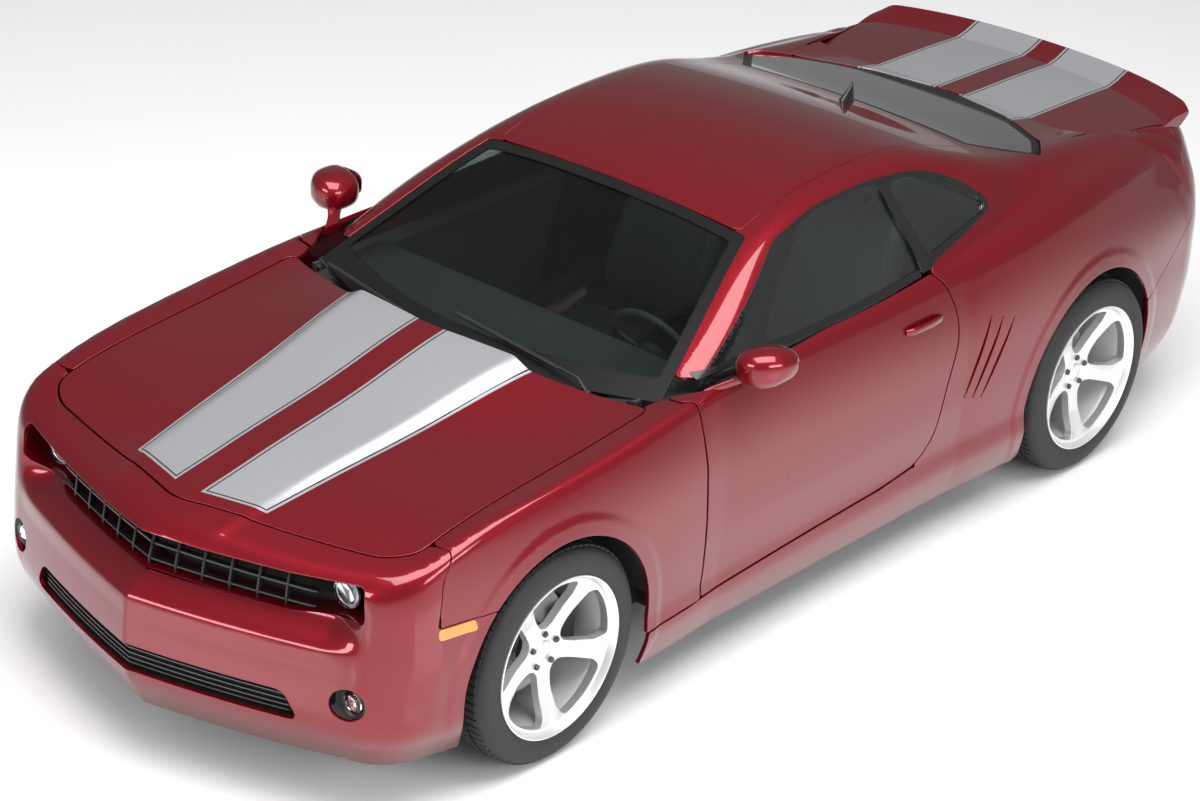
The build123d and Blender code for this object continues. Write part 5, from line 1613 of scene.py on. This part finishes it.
for side, sign in (("left", 1), ("right", -1)):
    turn = np.array([1, sign, 1])
    shell = solidObject(f"mirrorHousing_{side}", [(p * turn, f) for p, f in mirrorHousing()], 50)
    dressed(shell, f"door_{side}", "paint", red, f"mirror_{side}")
    plate = solidObject(f"mirrorPlate_{side}", [mirrorPlate(sign)], 50)
    dressed(plate, f"door_{side}", "glass", chrome)
    bar = solidObject(f"handleBar_{side}", [handleBar(turn)], 50)
    dressed(bar, f"door_{side}", "paint", red, f"handle_{side}")


spoilerForm = {
    "half": 0.705,            # half its width
    "rear": -2.400,           # its rear edge in the middle
    "sweep": 0.150,           # how far ahead of that its ends lie
    "chord": 0.150,           # from front to rear in the middle
    "rise": 0.038,            # how far it stands up from the lid
    "flange": 0.030,          # and how far it reaches down
}


# The upturned lip: its section runs over the lid's end, its plan follows the tail.
def spoilerLoft():
    half = spoilerForm["half"]
    ys = np.concatenate([np.linspace(-half, -0.60, 8), np.linspace(-0.55, 0.55, 23),
                         np.linspace(0.60, half, 8)])
    rings = []
    for y in ys:
        a = abs(y)
        rear = spoilerForm["rear"] + spoilerForm["sweep"] * (a / half) ** 2.6
        front = rear + spoilerForm["chord"] + 0.02 * (a / 0.7) ** 2
        base = float(form["top"](np.array([front]), np.array([a]))[0]) - 0.004
        end = max(0.0, (a - 0.66) / 0.045)
        high = base + spoilerForm["rise"] * (1 - 0.55 * min(1, end) ** 2)
        low = base - spoilerForm["flange"]
        ring = [(front, base - 0.004), (front - 0.030, base + 0.004), (front - 0.080, base + 0.014),
                (rear + 0.012, high - 0.002), (rear + 0.004, high), (rear, high - 0.004),
                (rear + 0.001, high - 0.012), (rear + 0.010, high - 0.022), (rear + 0.030, low + 0.012),
                (rear + 0.050, low), (front - 0.010, low)]
        rings.append([(x, y, z) for x, z in ring])
    return loftMesh(rings)


dressed(solidObject("spoilerLip", [spoilerLoft()], 50), "trunk_lid", "paint", stripedRed, "spoiler")


finForm = {
    "foot": 1.222,
    "height": 0.070,
    "front": (-0.985, 0.108),         # x of its leading edge at the foot, and how far that leans back
    "back": (-1.104, 0.010),          # x of its trailing edge at the foot, and how far that leans ahead
    "half": (0.019, 0.0035),          # half its width: what tapers off, and what stays
}


# The fin on the roof: level sections that shrink upwards and lean back.
def finRings():
    frontFoot, frontLean = finForm["front"]
    backFoot, backLean = finForm["back"]
    taper, least = finForm["half"]
    angle = np.linspace(0, 2 * math.pi, 24, endpoint=False)
    rings = []
    for t in np.linspace(0, 1, 14):
        z = finForm["foot"] + finForm["height"] * t
        front = frontFoot - frontLean * t ** 0.8
        back = backFoot + backLean * t
        middle, half = (front + back) / 2, max((front - back) / 2, 0.002)
        wide = taper * (1 - t) ** 1.3 + least
        rings.append(np.stack([middle + np.cos(angle) * half, np.sin(angle) * wide, np.full(24, z)], 1))
    return loftMesh(rings)


dressed(solidObject("antennaFin", [finRings()], 60), "body", "paint", glossBlack, "antenna")
wiperRoutes = (
    # where an arm's shaft, its elbow and its tip are
    ((0.968, 0.560, 0.962), (0.945, 0.500, 0.985), (0.930, -0.040, 1.022)),
    ((1.045, -0.060, 0.970), (1.010, -0.120, 0.985), (0.905, -0.640, 0.985)),
)


def wiperShells(route):
    shaft, elbow, tip = np.array(route)
    knob = [(-0.012, 0.0005), (-0.012, 0.012), (0.006, 0.011), (0.010, 0.0005)]
    points, faces = turnedMesh(knob, 24, axis="x")
    arm = np.concatenate([np.linspace(shaft, elbow, 5), np.linspace(elbow, tip, 14)[1:]])
    blade = np.linspace(elbow * 0.85 + tip * 0.15, tip, 16) + np.array([0.005, 0, -0.003])
    return [(points[:, [2, 1, 0]] + shaft, faces), sweptBar(arm, 0.011, 0.008),
            sweptBar(blade, 0.007, 0.009, power=0.8)]


wipers = [shell for route in wiperRoutes for shell in wiperShells(route)]
dressed(solidObject("wiperArms", wipers, 40), "body", "black_plastic", satinBlack, "wipers")
pipeProfile = [(-2.405, 0.042), (-2.405, 0.0385), (-2.300, 0.0380), (-2.300, 0.040), (-2.398, 0.0425)]
pipes = mirroredPieces([turnedMesh(pipeProfile, 48, axis="x", centre=(0, 0.520, 0.250))])
dressed(solidObject("pipeTips", pipes, 40), "body", "exhaust", pipeSteel)
print("small pieces ready")


# the cabin
# A padded slab along a path of (x, z): flat in its middle, with raised sides and a crowned end.
def cushion(path, halves, thickness, bolster, count=36):
    path = np.array(path, float)
    run = np.gradient(path, axis=0)
    run /= np.linalg.norm(run, axis=1)[:, None]
    up = np.stack([run[:, 1], -run[:, 0]], 1)
    rings = []
    for i, (p, u) in enumerate(zip(path, up)):
        t = i / (len(path) - 1)
        swell = max(0.05, 1 - abs(2 * t - 1) ** 6)
        angle = np.linspace(0, 2 * math.pi, count, endpoint=False)
        across = np.sign(np.cos(angle)) * np.abs(np.cos(angle)) ** 0.55 * halves[i] * (0.90 + 0.10 * swell)
        rise = np.sign(np.sin(angle)) * np.abs(np.sin(angle)) ** 0.6 * thickness / 2 * swell
        side = np.clip(np.abs(across) / halves[i], 0, 1)
        rise = rise + (np.sin(angle) > 0) * bolster * side ** 3 * np.sin(angle)
        rise = rise - (np.sin(angle) > 0) * 0.006 * np.cos(side * 9) * swell
        rings.append(np.stack([p[0] + u[0] * rise, across, p[1] + u[1] * rise], 1))
    return loftMesh(rings)


seatForm = {
    # start x z, run x z, rings, half width, narrowing, thickness, bolster
    "frontBase": ((-0.04, 0.405), (-0.44, -0.035), 15, 0.235, 0.0, 0.13, 0.045),
    "frontBack": ((-0.505, 0.455), (-0.205, 0.60), 19, 0.235, 0.05, 0.12, 0.045),
    "frontHead": ((-0.700, 1.09), (-0.015, 0.095), 9, 0.12, 0.0, 0.075, 0.0),
    "rearBase": ((-0.90, 0.548), (-0.27, -0.005), 13, 0.265, 0.0, 0.085, 0.02),
    "rearBack": ((-1.225, 0.59), (-0.06, 0.33), 13, 0.265, 0.0, 0.09, 0.02),
}


def seatShells(names, y):
    shells = []
    for start, run, count, half, narrowing, thickness, bolster in (seatForm[name] for name in names):
        t = np.linspace(0, 1, count)
        path = np.array(start) + np.array(run) * t[:, None]
        points, faces = cushion(path, half - narrowing * t ** 2, thickness, bolster)
        shells.append((points + np.array([0, y, 0]), faces))
    return shells


frontParts, rearParts = ("frontBase", "frontBack", "frontHead"), ("rearBase", "rearBack")
seats = solidObject("frontSeats", seatShells(frontParts, 0.37) + seatShells(frontParts, -0.37), 60)
dressed(seats, "body", "seat", leather, "front_seats")
bench = solidObject("rearBench", seatShells(rearParts, 0.28) + seatShells(rearParts, -0.28), 60)
dressed(bench, "body", "seat", leather, "rear_seat")


steeringForm = {
    "centre": (0.395, 0.370, 0.845),
    "tilt": 24,                           # degrees that the wheel leans from upright
    "radius": 0.172,
    "grip": (0.0135, 0.0125),             # half the rim's section, outwards and along the axis
    "spokes": (8, 172, 270),              # degrees
    "hub": ((-0.050, 0.030), (-0.040, 0.052), (-0.020, 0.060), (-0.006, 0.052), (0.002, 0.030)),
}


# The rim, three spokes and the hub.
def steeringWheel():
    centre, tilt = np.array(steeringForm["centre"]), math.radians(steeringForm["tilt"])
    radius, (gripOut, gripAlong) = steeringForm["radius"], steeringForm["grip"]
    axis = np.array([-math.cos(tilt), 0, math.sin(tilt)])
    up = np.array([math.sin(tilt), 0, math.cos(tilt)])
    side = np.array([0, 1.0, 0])
    count, around = 14, 64
    b = np.linspace(0, 2 * math.pi, count, endpoint=False)[:, None]
    rings = []
    for a in np.linspace(0, 2 * math.pi, around, endpoint=False):
        out = side * math.cos(a) + up * math.sin(a)
        rings.append(centre + out * radius + out * gripOut * np.cos(b) + axis * gripAlong * np.sin(b))
    points, faces = loftMesh(rings, closeEnds=False)
    last = (around - 1) * count
    for k in range(count):
        l = (k + 1) % count
        faces.append((last + k, last + l, l, k))
    shells = [(points, faces)]
    for a in (math.radians(degrees) for degrees in steeringForm["spokes"]):
        out = side * math.cos(a) + up * math.sin(a)
        along = np.linspace(0.03, radius - 0.004, 8)
        path = [centre + out * t - axis * 0.030 * (1 - t / radius) for t in along]
        shells.append(sweptBar(path, 0.034, 0.012, up=axis))
    b = np.linspace(0, 2 * math.pi, 32, endpoint=False)[:, None]
    hub = [centre + axis * along + side * np.cos(b) * r + up * np.sin(b) * r
           for along, r in steeringForm["hub"]]
    return shells + [loftMesh(hub)]


wheelAndHub = solidObject("wheelAndHub", steeringWheel(), 50)
dressed(wheelAndHub, "steering_wheel", "trim", cabinTrim, "steering_wheel")
# the nodes that show as they are
nodeLooks = {
    "floor_pan": underCoat, "firewall": underCoat, "front_rails": underCoat, "trunk_floor": underCoat,
    "cowl": satinBlack, "engine_block": castIron, "exhaust": pipeSteel, "front_suspension": castIron,
    "rear_suspension": castIron, "dashboard": cabinTrim, "knuckle_left": castIron, "knuckle_right": castIron,
    "brake_disc_fl": discSteel, "brake_disc_fr": discSteel, "brake_disc_rl": discSteel,
    "brake_disc_rr": discSteel,
}
for name, look in nodeLooks.items():
    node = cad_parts[name]
    node.data.materials.clear()
    node.data.materials.append(look)
print("cabin ready")

# camera, floor and light
viewForm = {
    "spot": (8.918, 7.132, 6.081),
    "azimuth": -140.65,       # degrees
    "elevation": -26.5,
    "roll": 3.42,
    "lens": 36 * 3678 / 1200,
}


def addCamera():
    azimuth, elevation, roll = (math.radians(viewForm[name]) for name in ("azimuth", "elevation", "roll"))
    ahead = Vector((math.cos(azimuth) * math.cos(elevation), math.sin(azimuth) * math.cos(elevation),
                    math.sin(elevation)))
    right = ahead.cross(Vector((0, 0, 1))).normalized()
    up = right.cross(ahead)
    across = right * math.cos(roll) + up * math.sin(roll)
    upward = -right * math.sin(roll) + up * math.cos(roll)
    camera = bpy.data.objects.new("viewCamera", bpy.data.cameras.new("viewCamera"))
    camera.data.lens = viewForm["lens"]
    camera.data.clip_end = 100
    bpy.context.collection.objects.link(camera)
    turn = Matrix((across, upward, -ahead)).transposed().to_4x4()
    camera.matrix_world = Matrix.Translation(viewForm["spot"]) @ turn
    bpy.context.scene.camera = camera


# name, watts, size, place and the point it is aimed at
lightTable = (
    ("overheadLight", 640, (7, 5), (1.2, 1.6, 6.5), (0, 0, 0.5)),
    ("leftLight", 260, (6, 2.0), (1.0, 8.0, 3.2), (0.0, 0, 0.5)),
    ("noseLight", 200, (4, 2.0), (8.5, -1.0, 3.0), (1.5, 0, 0.6)),
)


def addFloor():
    made, place, shader = material("studioFloor", (0.86, 0.86, 0.865), roughness=0.16)
    tone = noise(place, 0.8)
    connect(tone.mixed((0.86, 0.86, 0.865, 1), (0.88, 0.88, 0.885, 1)), shader, "Base Color")
    mesh = bpy.data.meshes.new("studioFloor")
    reach = 40
    corners = [(-reach, -reach, 0), (reach, -reach, 0), (reach, reach, 0), (-reach, reach, 0)]
    mesh.from_pydata(corners, [], [(0, 1, 2, 3)])
    mesh.materials.append(made)
    floor = bpy.data.objects.new("studioFloor", mesh)
    bpy.context.collection.objects.link(floor)


def addLights(table):
    for name, energy, size, spot, aim in table:
        light = bpy.data.lights.new(name, "AREA")
        light.energy, light.shape = energy, "RECTANGLE"
        light.size, light.size_y = size
        obj = bpy.data.objects.new(name, light)
        obj.location = spot
        obj.rotation_euler = (Vector(aim) - Vector(spot)).to_track_quat("-Z", "Y").to_euler()
        bpy.context.collection.objects.link(obj)


# White where the camera looks past the floor, fainter in reflections and for the light it sheds.
def addWorld():
    world = bpy.data.worlds.new("studio")
    bpy.context.scene.world = world
    world.use_nodes = True
    tree = world.node_tree
    path = tree.nodes.new("ShaderNodeLightPath")
    camera = Wire(tree, path.outputs["Is Camera Ray"])
    seen = camera.most(Wire(tree, path.outputs["Is Transmission Ray"]))
    glossy = Wire(tree, path.outputs["Is Glossy Ray"]) * (1 - seen)
    strength = seen + (1 - seen) * (0.66 - glossy * 0.46)
    background = tree.nodes["Background"]
    background.inputs["Color"].default_value = (1, 1, 1, 1)
    tree.links.new(strength.socket, background.inputs["Strength"])


addCamera()
addFloor()
addLights(lightTable)
addWorld()
bpy.context.scene.view_settings.view_transform = "Standard"
print("stage ready")
